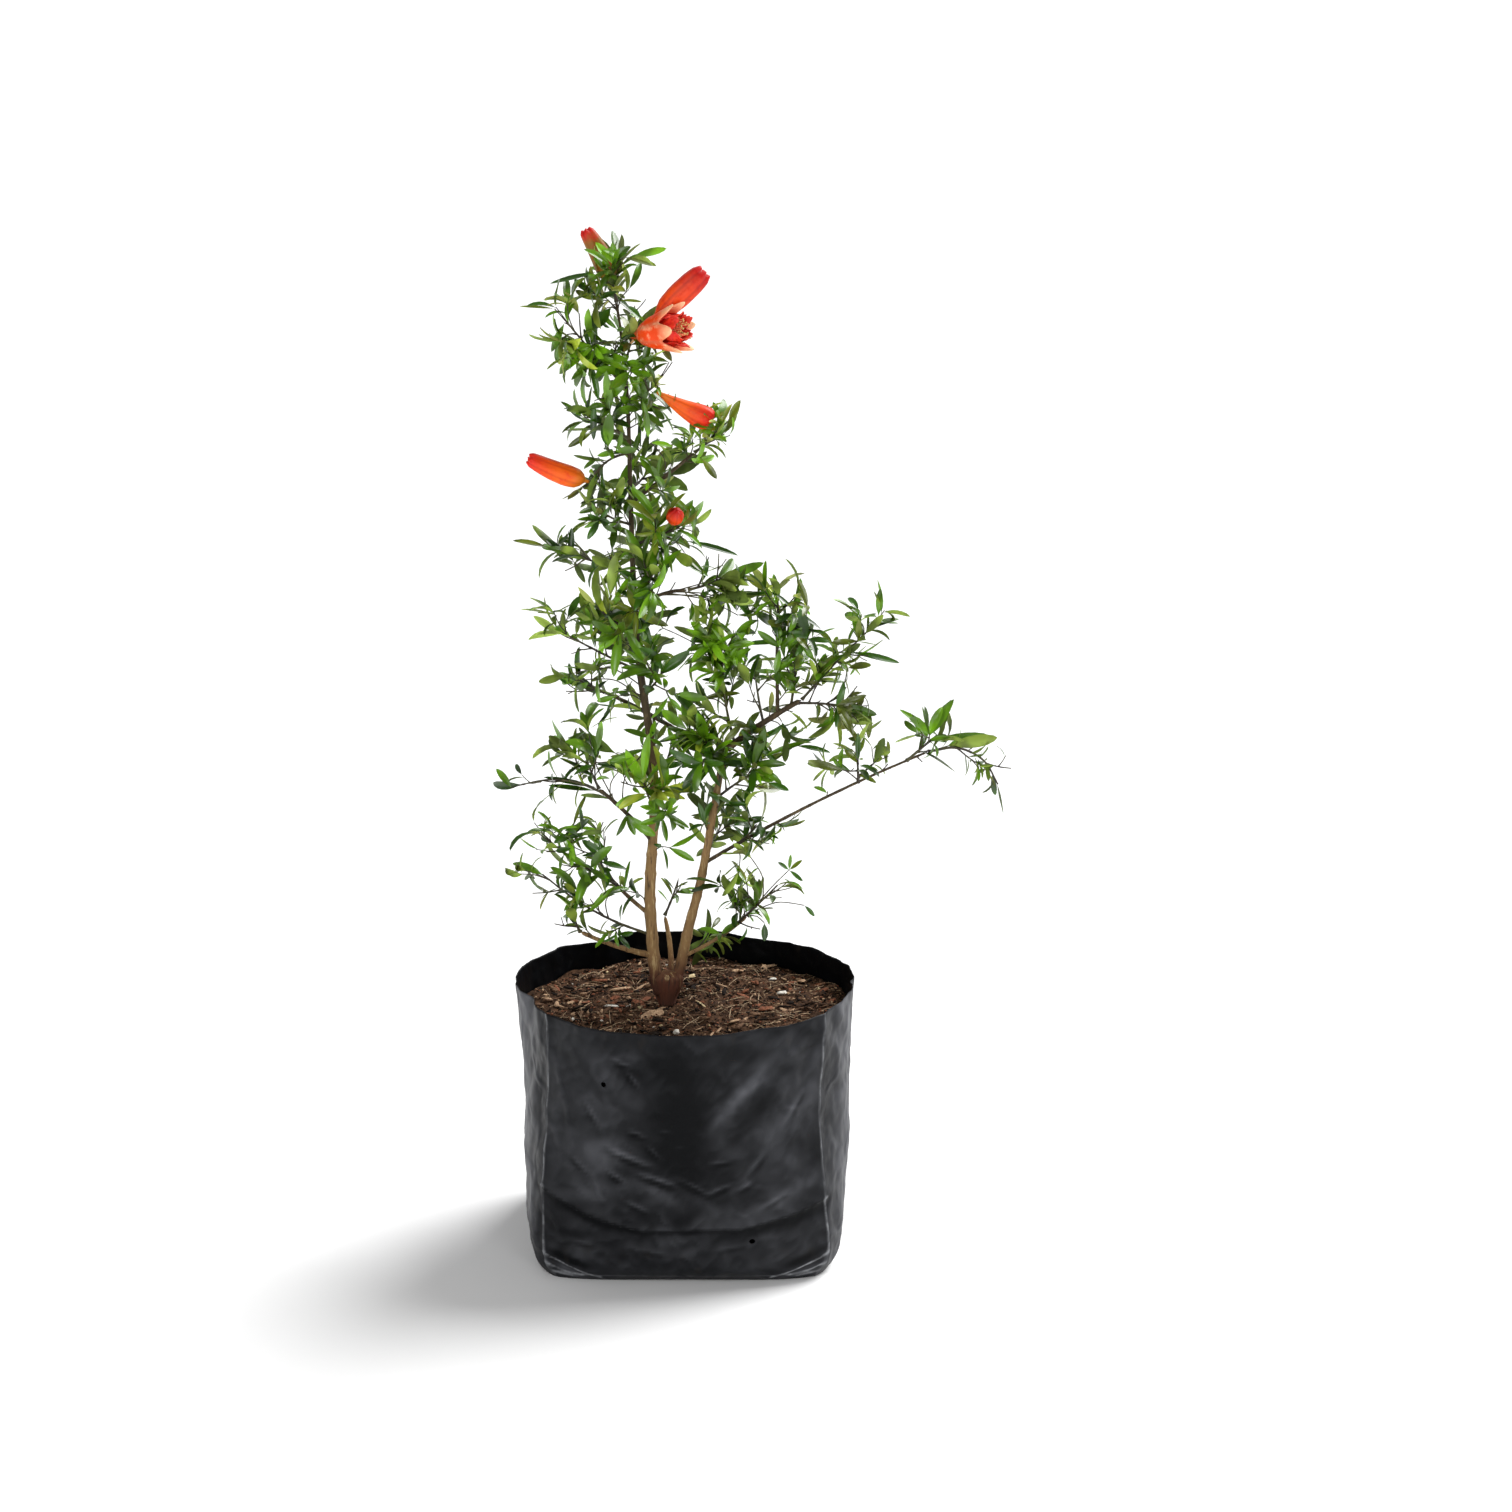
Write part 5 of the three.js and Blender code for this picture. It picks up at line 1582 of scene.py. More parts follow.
    def marked_pieces(self) -> bpy.types.Object:
        """Lays the pieces that have a place of their own."""
        pattern = self._crumb(2, 15)
        corners = corners_of(pattern)
        places = []
        for row in self.pieces:
            ahead = direction(row.heading, 5)
            side, over = frame_of(ahead)
            scale = np.array((row.length, row.width, min(row.width * 0.5, 2.4)))
            spot = Vector((row.x, row.y, self.height_at(row.x, row.y) + 1.2))
            places.append((corners * scale) @ np.array([ahead, side, over]) + np.array(spot))
        kinds = np.array([row.kind for row in self.pieces])
        return tiled_mesh("marked_pieces", pattern, np.array(places), kinds)

    def coir(self) -> bpy.types.Object:
        """Lays curved coir fibres over the bed."""
        draw = DrawStream(304)
        strands = Strands("coir_fibres", 0)
        for _ in range(self.fibres):
            length = 7 + 28 * draw() ** 2
            spot = self._spot(draw, 5 + length * 0.5)
            heading = 360 * draw()
            curl = draw.between(-24, 24)
            hump = draw.between(0.0, 2.0)
            points = []
            for i in range(8):
                share = i / 7
                step = direction(heading + curl * share, 0) * (length / 7)
                spot = spot + step if i else spot
                a = math.atan2(spot.y, spot.x)
                held = spot * min(1, (self._wall(a) - 2.4) / math.hypot(spot.x, spot.y))
                lift = 0.6 + hump * math.sin(math.pi * share)
                points.append(Vector((held.x, held.y, self.height_at(held.x, held.y) + lift)))
            thick = draw.between(0.16, 0.4)
            strands.add(points, [thick * (1 - 0.4 * abs(2 * i / 7 - 1)) for i in range(8)])
        return strands.finish()


# ------------------------------------------------------------------ wood


@dataclass
class WoodyStems:
    """Root crown, trunk, stems and boughs, with the relief of their bark."""

    crown_foot: Vector = field(default_factory=lambda: Vector((-12.5, -1.0, 160.5)))
    crown_height: float = 25.0
    foot_radius: float = 4.9
    fork_width: float = 10.4
    fork_depth: float = 6.2
    crown_faces: tuple[int, int] = (44, 26)
    step: float = 2.6
    stub_place: tuple[float, float, float] = (-12.0, -3.4, 179.0)
    stub_course: tuple[float, float] = (-92.0, 46.0)
    stub_rings: tuple[tuple[float, float], ...] = (
        (0, 0), (0, 2.7), (2.0, 2.1), (3.2, 1.95), (3.5, 1.7), (3.4, 0))
    routes: dict[str, Route] = field(default_factory=dict)
    radii: dict[str, tuple[float, float]] = field(default_factory=dict)

    def __post_init__(self) -> None:
        """Lays out the route of every stem and bough."""
        for name, row in STEMS.items():
            self.routes[name] = Route.through(row.through, 2)
            self.radii[name] = (row.butt, row.tip)
        for name, row in BOUGHS.items():
            start = self.routes[row.on].along(row.at)[0]
            self.routes[name] = Route.arc(start, row.heading, row.rise, row.bend, row.sweep,
                                          row.length, 5)
            self.radii[name] = (row.butt, row.tip)

    def _tube(self, bm: bmesh.types.BMesh, route: Route, butt: float, tip: float, around: int,
              seed: int) -> None:
        """Adds a closed limb with ridged bark, a swollen foot and knots.

        Args:
            bm: the mesh it joins.
            route: its middle line.
            butt: radius at the foot.
            tip: radius at the tip.
            around: the number of faces round it.
            seed: sets its knots and ridges apart from those of other limbs.
        """
        course = route.smooth(4)
        stations = max(12, int(course.length / self.step))
        centres = []
        sides = []
        overs = []
        side = frame_of(course.along(0)[1])[0]
        for i in range(stations + 1):
            point, ahead = course.along(i / stations)
            side = (side - ahead * side.dot(ahead)).normalized()
            centres.append(point)
            sides.append(side.copy())
            overs.append(ahead.cross(side))
        draw = DrawStream(500 + seed)
        spacing = 15 if butt > 3 else 11
        knots = [(k + 0.35 + 0.5 * draw()) * spacing for k in range(int(course.length / spacing))]

        def point(a: float, s: float) -> Vector:
            """Returns the point of the bark at an angle and a share of the length."""
            at = round(s * stations)
            run = s * course.length
            radius = tip + (butt - tip) * (1 - s) ** 1.3
            x = math.cos(a)
            y = math.sin(a)
            ridge = noise.noise(Vector((x * 2.3, y * 2.3, run / 19 + seed * 7)))
            fine = noise.noise(Vector((x * 5, y * 5, run / 7 + seed)))
            swell = 0.35 * math.exp(-(run / (butt * 1.7)) ** 2)
            for knot in knots:
                swell += 0.13 * math.exp(-((run - knot) / 1.6) ** 2)
            closed = 0 if at in (0, stations) else 1
            radius *= (1 + swell + 0.13 * ridge + 0.06 * fine) * closed
            return round_about(centres[at], sides[at], overs[at], a, radius)

        layer = bm.verts.layers.float["thick"]
        for vert in wrapped_grid(bm, around, stations, one_by_one(point)):
            vert[layer] = float(butt > 2)

    def _root_crown(self, bm: bmesh.types.BMesh) -> None:
        """Adds the buttressed woody base, narrow below and broad where the stems part."""

        def point(a: float, s: float) -> Vector:
            """Returns the point of the crown's bark at an angle and a share of its height."""
            x = math.cos(a)
            y = math.sin(a)
            swell = math.sin(min(s * 1.25, 1) * math.pi / 2) ** 1.7
            shut = 1 - max(0, (s - 0.72) / 0.28) ** 2
            wide = self.foot_radius + (self.fork_width - self.foot_radius) * swell
            deep = self.foot_radius + (self.fork_depth - self.foot_radius) * swell
            flare = 1 + 0.1 * math.exp(-(s * self.crown_height / 3.5) ** 2)
            ribs = 0.09 * math.sin(6 * a + 1.3 * s + 0.8) + 0.07 * math.sin(13 * a - 2 * s)
            rough = 0.1 * noise.noise(Vector((x * 3, y * 3, s * 3)))
            scale = (flare + ribs + rough) * (0 if s in (0.0, 1.0) else shut)
            return self.crown_foot + Vector((x * wide * scale, y * deep * scale,
                                             s * self.crown_height))

        layer = bm.verts.layers.float["thick"]
        for vert in wrapped_grid(bm, *self.crown_faces, one_by_one(point)):
            vert[layer] = 1.0

    def build(self) -> bpy.types.Object:
        """Builds all the woody limbs as one piece; `thick` marks the old ones for the bark."""
        bm = bmesh.new()
        bm.verts.layers.float.new("thick")
        self._root_crown(bm)
        for seed, (name, route) in enumerate(self.routes.items()):
            butt, tip = self.radii[name]
            self._tube(bm, route, butt, tip, 20 if butt > 4 else 12, seed)
        return finish_mesh(bm, "woody_stems")

    def stub(self) -> bpy.types.Object:
        """Builds the pale end of the pruned shoot on the front of the root crown."""
        start = Vector(self.stub_place)
        ahead = direction(*self.stub_course)
        side, over = frame_of(ahead)
        rings = self.stub_rings

        def point(a: float, s: float) -> Vector:
            """Returns the point of the stub at an angle and a share of its rings."""
            run, radius = rings[round(s * (len(rings) - 1))]
            rough = radius * (1 + 0.07 * math.sin(3 * a + 0.4))
            return round_about(start + ahead * run, side, over, a, rough)

        bm = bmesh.new()
        wrapped_grid(bm, 20, len(rings) - 1, one_by_one(point))
        return finish_mesh(bm, "pruned_stub")


# ------------------------------------------------------------------ foliage


@dataclass
class Growth:
    """What one spray grows: its leading twig, its side shoots and finer shoots."""

    route: Route
    shoots: list[Route] = field(default_factory=list)
    finer: list[Route] = field(default_factory=list)


@dataclass
class Leaf:
    """One leaf: its root, its directions, its length, its outline's width and its curves."""

    root: Vector
    ahead: Vector
    face: Vector
    length: float
    width: float
    arch: float
    fold: float
    twist: float
    tint: LeafTint
    lone: bool = False


def gathered(leaves: Sequence[Leaf], *keys: str) -> Iterable[np.ndarray]:
    """Returns an array of each named value of many leaves."""
    return (np.array([getattr(leaf, key) for leaf in leaves]) for key in keys)


@dataclass
class Foliage:
    """All the sprays: twigs by the shared rule, carried on to finer shoots and whorls."""

    wood: WoodyStems
    bag: NurseryBag
    leaf_length: float = 29.0
    leaf_spacing: float = 3.4
    shoot_length: float = 21.0
    shoots_from: float = 0.14
    shoots_span: float = 0.76
    leafy_from: float = 0.2
    node_spacing: float = 9.5
    finer_share: float = 0.75
    sizes: tuple[float, ...] = (1.0, 0.8, 0.64)
    outline: tuple[tuple[float, float], ...] = (
        (0, 0), (0.1, 0.2), (0.24, 0.64), (0.4, 0.93), (0.58, 1.0), (0.76, 0.85),
        (0.92, 0.46), (1.0, 0))
    thickness: float = 0.16
    soil_clearance: float = 3.0
    limb_clearance: float = 0.7
    wall_margin: float = 9.0
    rim_clearance: float = 2.5
    outer_margin: float = 14.0
    outer_floor: float = 60.0
    fit_shares: tuple[float, ...] = (0.35, 0.6, 0.8, 1.0)
    sky_shares: tuple[float, ...] = (0.35, 0.6, 0.85)
    leading_radii: tuple[float, float] = (0.95, 0.5)
    shoot_radii: tuple[float, float] = (0.55, 0.34)
    finer_radii: tuple[float, float] = (0.36, 0.26)
    spur_radii: tuple[float, float] = (0.45, 0.3)
    leaves: list[Leaf] = field(default_factory=list)
    growths: dict[str, Growth] = field(default_factory=dict)
    spurs: list[Route] = field(default_factory=list)

    def grow(self) -> None:
        """Grows every spray in the order of its rows."""
        for seed, (name, row) in enumerate(SPRAYS.items(), start=1):
            start = self.wood.routes[row.on].along(row.at)[0]
            growth = self._grow_shared(row, seed, start)
            self._grow_finer(row, seed, growth)
            self.growths[name] = growth
        for seed, name in enumerate(SPURS, start=1):
            self._grow_spurs(name, seed)
        for seed, tuft in enumerate(TUFTS, start=1):
            self._grow_tuft(tuft, seed)
        fine = DrawStream(LONE_SEED)
        for leaf in LONE_LEAVES:
            self._grow_lone(fine, leaf)
        for row in BUDS.values():
            if row.drop:
                start = self.growths[row.on].route.along(row.at)[0]
                end = self.bud_root(row) + direction(row.heading, row.rise) * 2
                self.spurs.append(Route.through([tuple(start), tuple((start + end) / 2),
                                                 tuple(end)], 2))

    def bud_root(self, row: BudRow) -> Vector:
        """Returns the point where a bud begins."""
        return self.growths[row.on].route.along(row.at)[0] - Z_AXIS * row.drop

    def _grow_lone(self, fine: DrawStream, row: LoneLeaf) -> None:
        """Grows one leaf that reaches from its twig's end to its own tip."""
        self._twig_to(row.on, Vector(row.root))
        reach = Vector(row.tip) - Vector(row.root)
        ahead = reach.normalized()
        face = (Z_AXIS + Vector((fine.between(-0.3, 0.3), -0.8, 0))).normalized()
        self.leaves.append(Leaf(
            Vector(row.root), ahead, face, reach.length, width=row.width,
            arch=math.radians(fine.between(-22, 10)), fold=math.radians(fine.between(8, 26)),
            twist=math.radians(fine.between(-20, 20)), tint=row.tint, lone=True))

    def _twig_to(self, name: str, tip: Vector) -> Route:
        """Leads a twig from a little below its carrier's nearest point to its own tip."""
        carrier = self.wood.routes.get(name) or self.growths[name].route
        away = [(carrier.along(i / 40)[0] - tip).length for i in range(41)]
        nearest = min(range(41), key=away.__getitem__)
        back = 0.4 * away[nearest] / carrier.length
        root, ahead = carrier.along(max(0.02, nearest / 40 - back))
        elbow = root + ahead * (away[nearest] * 0.2) + (tip - root) * 0.4
        twig = Route.through([tuple(root), tuple(elbow), tuple(tip)], 2)
        self.spurs.append(twig)
        return twig

    def _grow_tuft(self, tuft: TuftRow, seed: int) -> None:
        """Grows one tuft: a twig with rings of leaves at its tip and its middle."""
        fine = DrawStream(seed + TUFT_SEEDS)
        twig = self._twig_to(tuft.on, Vector(tuft.tip))
        self._whorl(fine, tuft, twig, 1.0, tuft.count, 42, 1.0)
        if tuft.count > 3:
            self._whorl(fine, tuft, twig, 0.97, 3, 74, 0.85)
            self._whorl(fine, tuft, twig, 0.6, 3, 62, 0.75)

    def _grow_spurs(self, name: str, seed: int) -> None:
        """Sets short leafy spurs along a limb, from a share of it up to its tip."""
        row = SPURS[name]
        fine = DrawStream(seed + SPUR_SEEDS)
        route = self.wood.routes[name]
        span = row.end - row.begin
        count = int(route.length * span / row.spacing)
        for k in range(count):
            root, ahead = route.along(row.begin + span * (k + fine()) / count)
            away = lean(ahead, fine.between(42, 72), k * GOLDEN_ANGLE + 40 * fine())
            twig = Route.shoot(root, away, 10, fine.between(5, 12))
            self.spurs.append(twig)
            self._whorl(fine, row, twig, 1.0, 4, 40, 0.78)

    def _deal(self, tint: LeafTint, draw: float) -> LeafTint:
        """Returns the tint that a draw deals to a whorl of a spray."""
        left = draw
        for dealt, share in TINT_DEAL[tint]:
            if left < share:
                return dealt
            left -= share
        return tint

    def _add_leaf(self, fine: DrawStream, root: Vector, ahead: Vector, face: Vector,
                  length: float, tint: LeafTint) -> None:
        """Adds a leaf, with its own width and curves."""
        self.leaves.append(Leaf(
            root, ahead, face, length, width=length * fine.between(0.19, 0.28) + 0.4,
            arch=math.radians(fine.between(-72, 14)), fold=math.radians(fine.between(8, 34)),
            twist=math.radians(fine.between(-38, 38)), tint=tint))

    def _grow_shared(self, row: SprayRow, seed: int, start: Vector) -> Growth:
        """Grows the twigs and leaves that the solids have too, by the same draws.

        Args:
            row: the spray's row.
            seed: the row's number, from 1.
            start: where its leading twig leaves its carrier.
        """
        draw = DrawStream(seed)
        fine = DrawStream(seed + LEAF_SEEDS)
        growth = Growth(Route.arc(start, row.heading, row.rise, row.bend, 0, row.length, 3))
        size = self.leaf_length * row.leaf

        def tuft(path: Route, share: float, count: int, splay: float) -> None:
            """Adds the leaves that stand at short steps below a share of a twig."""
            first = draw() * 360
            tint = self._deal(row.tint, fine())
            for k in range(count):
                root, ahead = path.along(share - k * self.leaf_spacing / path.length)
                heading = lean(ahead, splay + 6 * k + (draw() - 0.5) * 24,
                               first + k * GOLDEN_ANGLE)
                length = size * (0.8 + 0.4 * draw())
                self._add_leaf(fine, root, heading, ahead, length, tint)

        for i in range(row.shoots):
            share = self.shoots_from + self.shoots_span * (i + 0.5) / row.shoots
            root, ahead = growth.route.along(share)
            splay = 48 + 14 * draw()
            away = lean(ahead, splay, i * GOLDEN_ANGLE + seed * 61 + 30 * draw())
            length = self.shoot_length * (0.75 + 0.4 * draw()) * (1.1 - 0.35 * share)
            path = Route.shoot(root, away, 16, length)
            growth.shoots.append(path)
            tuft(path, 0.95, 3, 26)
        tuft(growth.route, 0.985, 4, 20)
        tuft(growth.route, 0.55, 2, 50)
        return growth

    def _whorl(self, fine: DrawStream, row: SprayRow | TuftRow | SpurRow, path: Route,
               share: float, count: int, splay: float, size: float) -> None:
        """Adds a ring of leaves round a node of a twig.

        Args:
            fine: the stream of the finer draws.
            row: the row that gives its leaves their size and tint.
            path: the twig.
            share: the node's place on it.
            count: the number of leaves.
            splay: their lean from the twig, in degrees.
            size: their length as a share of the spray's leaf.
        """
        first = fine() * 360
        tint = self._deal(row.tint, fine())
        for k in range(count):
            root, ahead = path.along(share - 0.9 * k / max(path.length, 1))
            away = lean(ahead, splay + fine.between(-16, 16),
                        first + k * 360 / count + fine.between(-24, 24))
            length = self.leaf_length * row.leaf * size * fine.between(0.72, 1.15)
            self._add_leaf(fine, root, away, ahead, length, tint)

    def _grow_finer(self, row: SprayRow, seed: int, growth: Growth) -> None:
        """Carries a spray on to finer shoots and to the whorls at its nodes."""
        fine = DrawStream(seed + FINER_SEEDS)
        leafy = growth.route.length * (1 - self.leafy_from)
        nodes = max(2, round(leafy / self.node_spacing))
        for k in range(nodes):
            share = self.leafy_from + (1 - self.leafy_from) * (k + 0.5) / nodes
            self._whorl(fine, row, growth.route, share, 3, 56, 0.72)
        for path in growth.shoots:
            self._whorl(fine, row, path, 0.98, 2, 30, 0.8)
            self._whorl(fine, row, path, 0.5, 3, 52, 0.66)
            if fine() < self.finer_share:
                root, ahead = path.along(fine.between(0.4, 0.75))
                away = lean(ahead, fine.between(38, 62), 360 * fine())
                twig = Route.shoot(root, away, 12, fine.between(6, 12))
                growth.finer.append(twig)
                self._whorl(fine, row, twig, 1.0, 4, 36, 0.62)

    def _segments(self) -> tuple[np.ndarray, np.ndarray, np.ndarray]:
        """Returns the starts, steps and radii of all the limbs' straight pieces."""
        pieces = []
        for name, route in self.wood.routes.items():
            butt, tip = self.wood.radii[name]
            for i, step in enumerate(route.steps):
                radius = butt + (tip - butt) * i / len(route.steps)
                pieces.append((route.points[i], step, radius))
        starts, steps, radii = zip(*pieces)
        return np.array(starts), np.array(steps), np.array(radii)

    def _clear(self, points: np.ndarray) -> np.ndarray:
        """Tells which points are clear of the limbs, the bag and the potting mix."""
        starts, steps, radii = self._segments()
        gap = points[:, None, :] - starts[None]
        along = np.clip((gap * steps).sum(2) / (steps ** 2).sum(1), 0, 1)
        away = np.linalg.norm(gap - along[..., None] * steps, axis=2) - radii
        reach = np.hypot(points[:, 0], points[:, 1])
        near_wall = reach > self.bag.mouth_radius - self.wall_margin
        outside = reach > self.bag.mouth_radius + self.outer_margin
        rim = self.bag.height + self.rim_clearance
        floor = np.where(near_wall, rim, BED_TOP + self.soil_clearance)
        floor = np.where(outside, self.outer_floor, floor)
        return (away.min(1) > self.limb_clearance) & (points[:, 2] > floor)

    def _hides_sky(self, leaves: Sequence[Leaf]) -> np.ndarray:
        """Tells which leaves stand in one of the crown's clearings."""
        gaps = np.array([(gap.across, gap.above, gap.radius - CLEARING_LAP)
                         for gap in CLEARINGS])
        roots, aheads, faces = gathered(leaves, "root", "ahead", "face")
        lengths, arches = (column[:, None] for column in gathered(leaves, "length", "arch"))
        arches = arches + 1e-6
        overs = faces - aheads * (faces * aheads).sum(1)[:, None]
        overs /= np.linalg.norm(overs, axis=1)[:, None] + 1e-9
        dip = math.radians(VIEW_DIP)
        hides = np.zeros(len(leaves), bool)
        for share in self.sky_shares:
            run = lengths * np.sin(arches * share) / arches
            lift = lengths * (1 - np.cos(arches * share)) / arches
            spots = roots + aheads * run + overs * lift
            rise = spots[:, 2:] - VIEW_CENTRE
            depth = 1 + (spots[:, 1:2] * math.cos(dip) - rise * math.sin(dip)) / VIEW_REACH
            above = (rise * math.cos(dip) + spots[:, 1:2] * math.sin(dip)) / depth
            across = VIEW_ACROSS + (spots[:, :1] - VIEW_ACROSS) / depth
            away = np.hypot(across - gaps[:, 0], above - gaps[:, 1])
            hides |= (away < gaps[:, 2]).any(1)
        return hides

    def fit(self) -> None:
        """Keeps each leaf at the largest size that is clear, and drops the rest."""
        fitting = []
        hides = self._hides_sky(self.leaves)
        waiting = [leaf for leaf, hidden in zip(self.leaves, hides) if leaf.lone or not hidden]
        for size in self.sizes:
            roots, aheads, lengths = gathered(waiting, "root", "ahead", "length")
            clear = np.ones(len(waiting), bool)
            for share in self.fit_shares:
                clear &= self._clear(roots + aheads * (lengths * size * share)[:, None])
            for leaf, free in zip(waiting, clear):
                if free:
                    leaf.length *= size
                    leaf.width *= size
                    fitting.append(leaf)
            waiting = [leaf for leaf, free in zip(waiting, clear) if not free]
            if not waiting:
                break
        self.leaves = fitting

    def _pattern(self) -> bpy.types.Mesh:
        """Returns the blade that every leaf repeats: (share, half width, height) corners."""
        bm = bmesh.new()
        steps = len(self.outline) - 1
        for across, height in ((4, 0.5), (2, -0.5)):
            made = bmesh.ops.create_grid(bm, x_segments=steps, y_segments=across, size=0.5)
            for vert in made["verts"]:
                share, half = self.outline[round((vert.co.x + 0.5) * steps)]
                side = vert.co.y * 2
                vert.co = (share, side * half, height * (1 - abs(side)) * min(1, half * 2))
            under = height < 0
            for face in {f for v in made["verts"] for f in v.link_faces}:
                face.material_index = int(under)
        bmesh.ops.remove_doubles(bm, verts=bm.verts, dist=1e-5)
        bmesh.ops.recalc_face_normals(bm, faces=bm.faces)
        return written(bm, "blade")

    def _shape(self, pattern: bpy.types.Mesh, leaves: Sequence[Leaf]) -> np.ndarray:
        """Returns the corners of every leaf, as (leaf, corner, 3)."""
        share, half, height = corners_of(pattern).T
        root, ahead, face = gathered(leaves, "root", "ahead", "face")
        length, width, arch, fold, twist = (
            column[:, None] for column in gathered(leaves, "length", "width", "arch", "fold",
                                                   "twist"))
        wide = np.cross(ahead, face)
        wide /= np.linalg.norm(wide, axis=1)[:, None] + 1e-9
        over = np.cross(wide, ahead)
        turned = arch * share
        safe = np.where(np.abs(arch) < 1e-3, 1e-3, arch)
        run = length * np.sin(turned) / safe
        lift = length * (1 - np.cos(turned)) / safe
        spun = twist * share
        flat = half * width / 2 * np.cos(fold)
        raised = np.abs(half) * width / 2 * np.sin(fold) + height * self.thickness
        side = flat * np.cos(spun) - raised * np.sin(spun)
        up = flat * np.sin(spun) + raised * np.cos(spun)
        forward = run - up * np.sin(turned)
        upward = lift + up * np.cos(turned)
        return (root[:, None] + forward[..., None] * ahead[:, None]
                + upward[..., None] * over[:, None] + side[..., None] * wide[:, None])

    def leaf_pieces(self) -> dict[LeafTint, bpy.types.Object]:
        """Builds one joined piece of leaves for each tint."""
        pattern = self._pattern()
        pieces = {}
        for tint in LeafTint:
            leaves = [leaf for leaf in self.leaves if leaf.tint is tint]
            if leaves:
                places = self._shape(pattern, leaves)
                pieces[tint] = tiled_mesh(f"leaves_{tint.value}", pattern, places)
        return pieces

    def twigs(self) -> bpy.types.Object:
        """Builds all the twigs as one joined piece."""
        strands = Strands("twigs", 2)
        for growth in self.growths.values():
            self._strand(strands, growth.route, *self.leading_radii)
            for path in growth.shoots:
                self._strand(strands, path, *self.shoot_radii)
            for path in growth.finer:
                self._strand(strands, path, *self.finer_radii)
        for path in self.spurs:
            self._strand(strands, path, *self.spur_radii)
        return strands.finish()

    @staticmethod
    def _strand(strands: Strands, route: Route, butt: float, tip: float) -> None:
        """Adds one tapering twig, a little thicker at its foot and its nodes."""
        course = route.smooth(4)
        count = max(4, int(course.length / 3))
        points = [course.along(i / count)[0] for i in range(count + 1)]
        radii = []
        for i in range(count + 1):
            share = i / count
            node = 0.12 if i % 3 == 0 else 0.0
            foot = 0.5 * math.exp(-(share * course.length / 1.6) ** 2)
            radii.append((butt + (tip - butt) * share) * (1 + node + foot))
        strands.add(points, radii)


# ------------------------------------------------------------------ blossom


Bends = tuple[np.ndarray, np.ndarray, np.ndarray]
Form = Callable[[np.ndarray, np.ndarray], Bends]


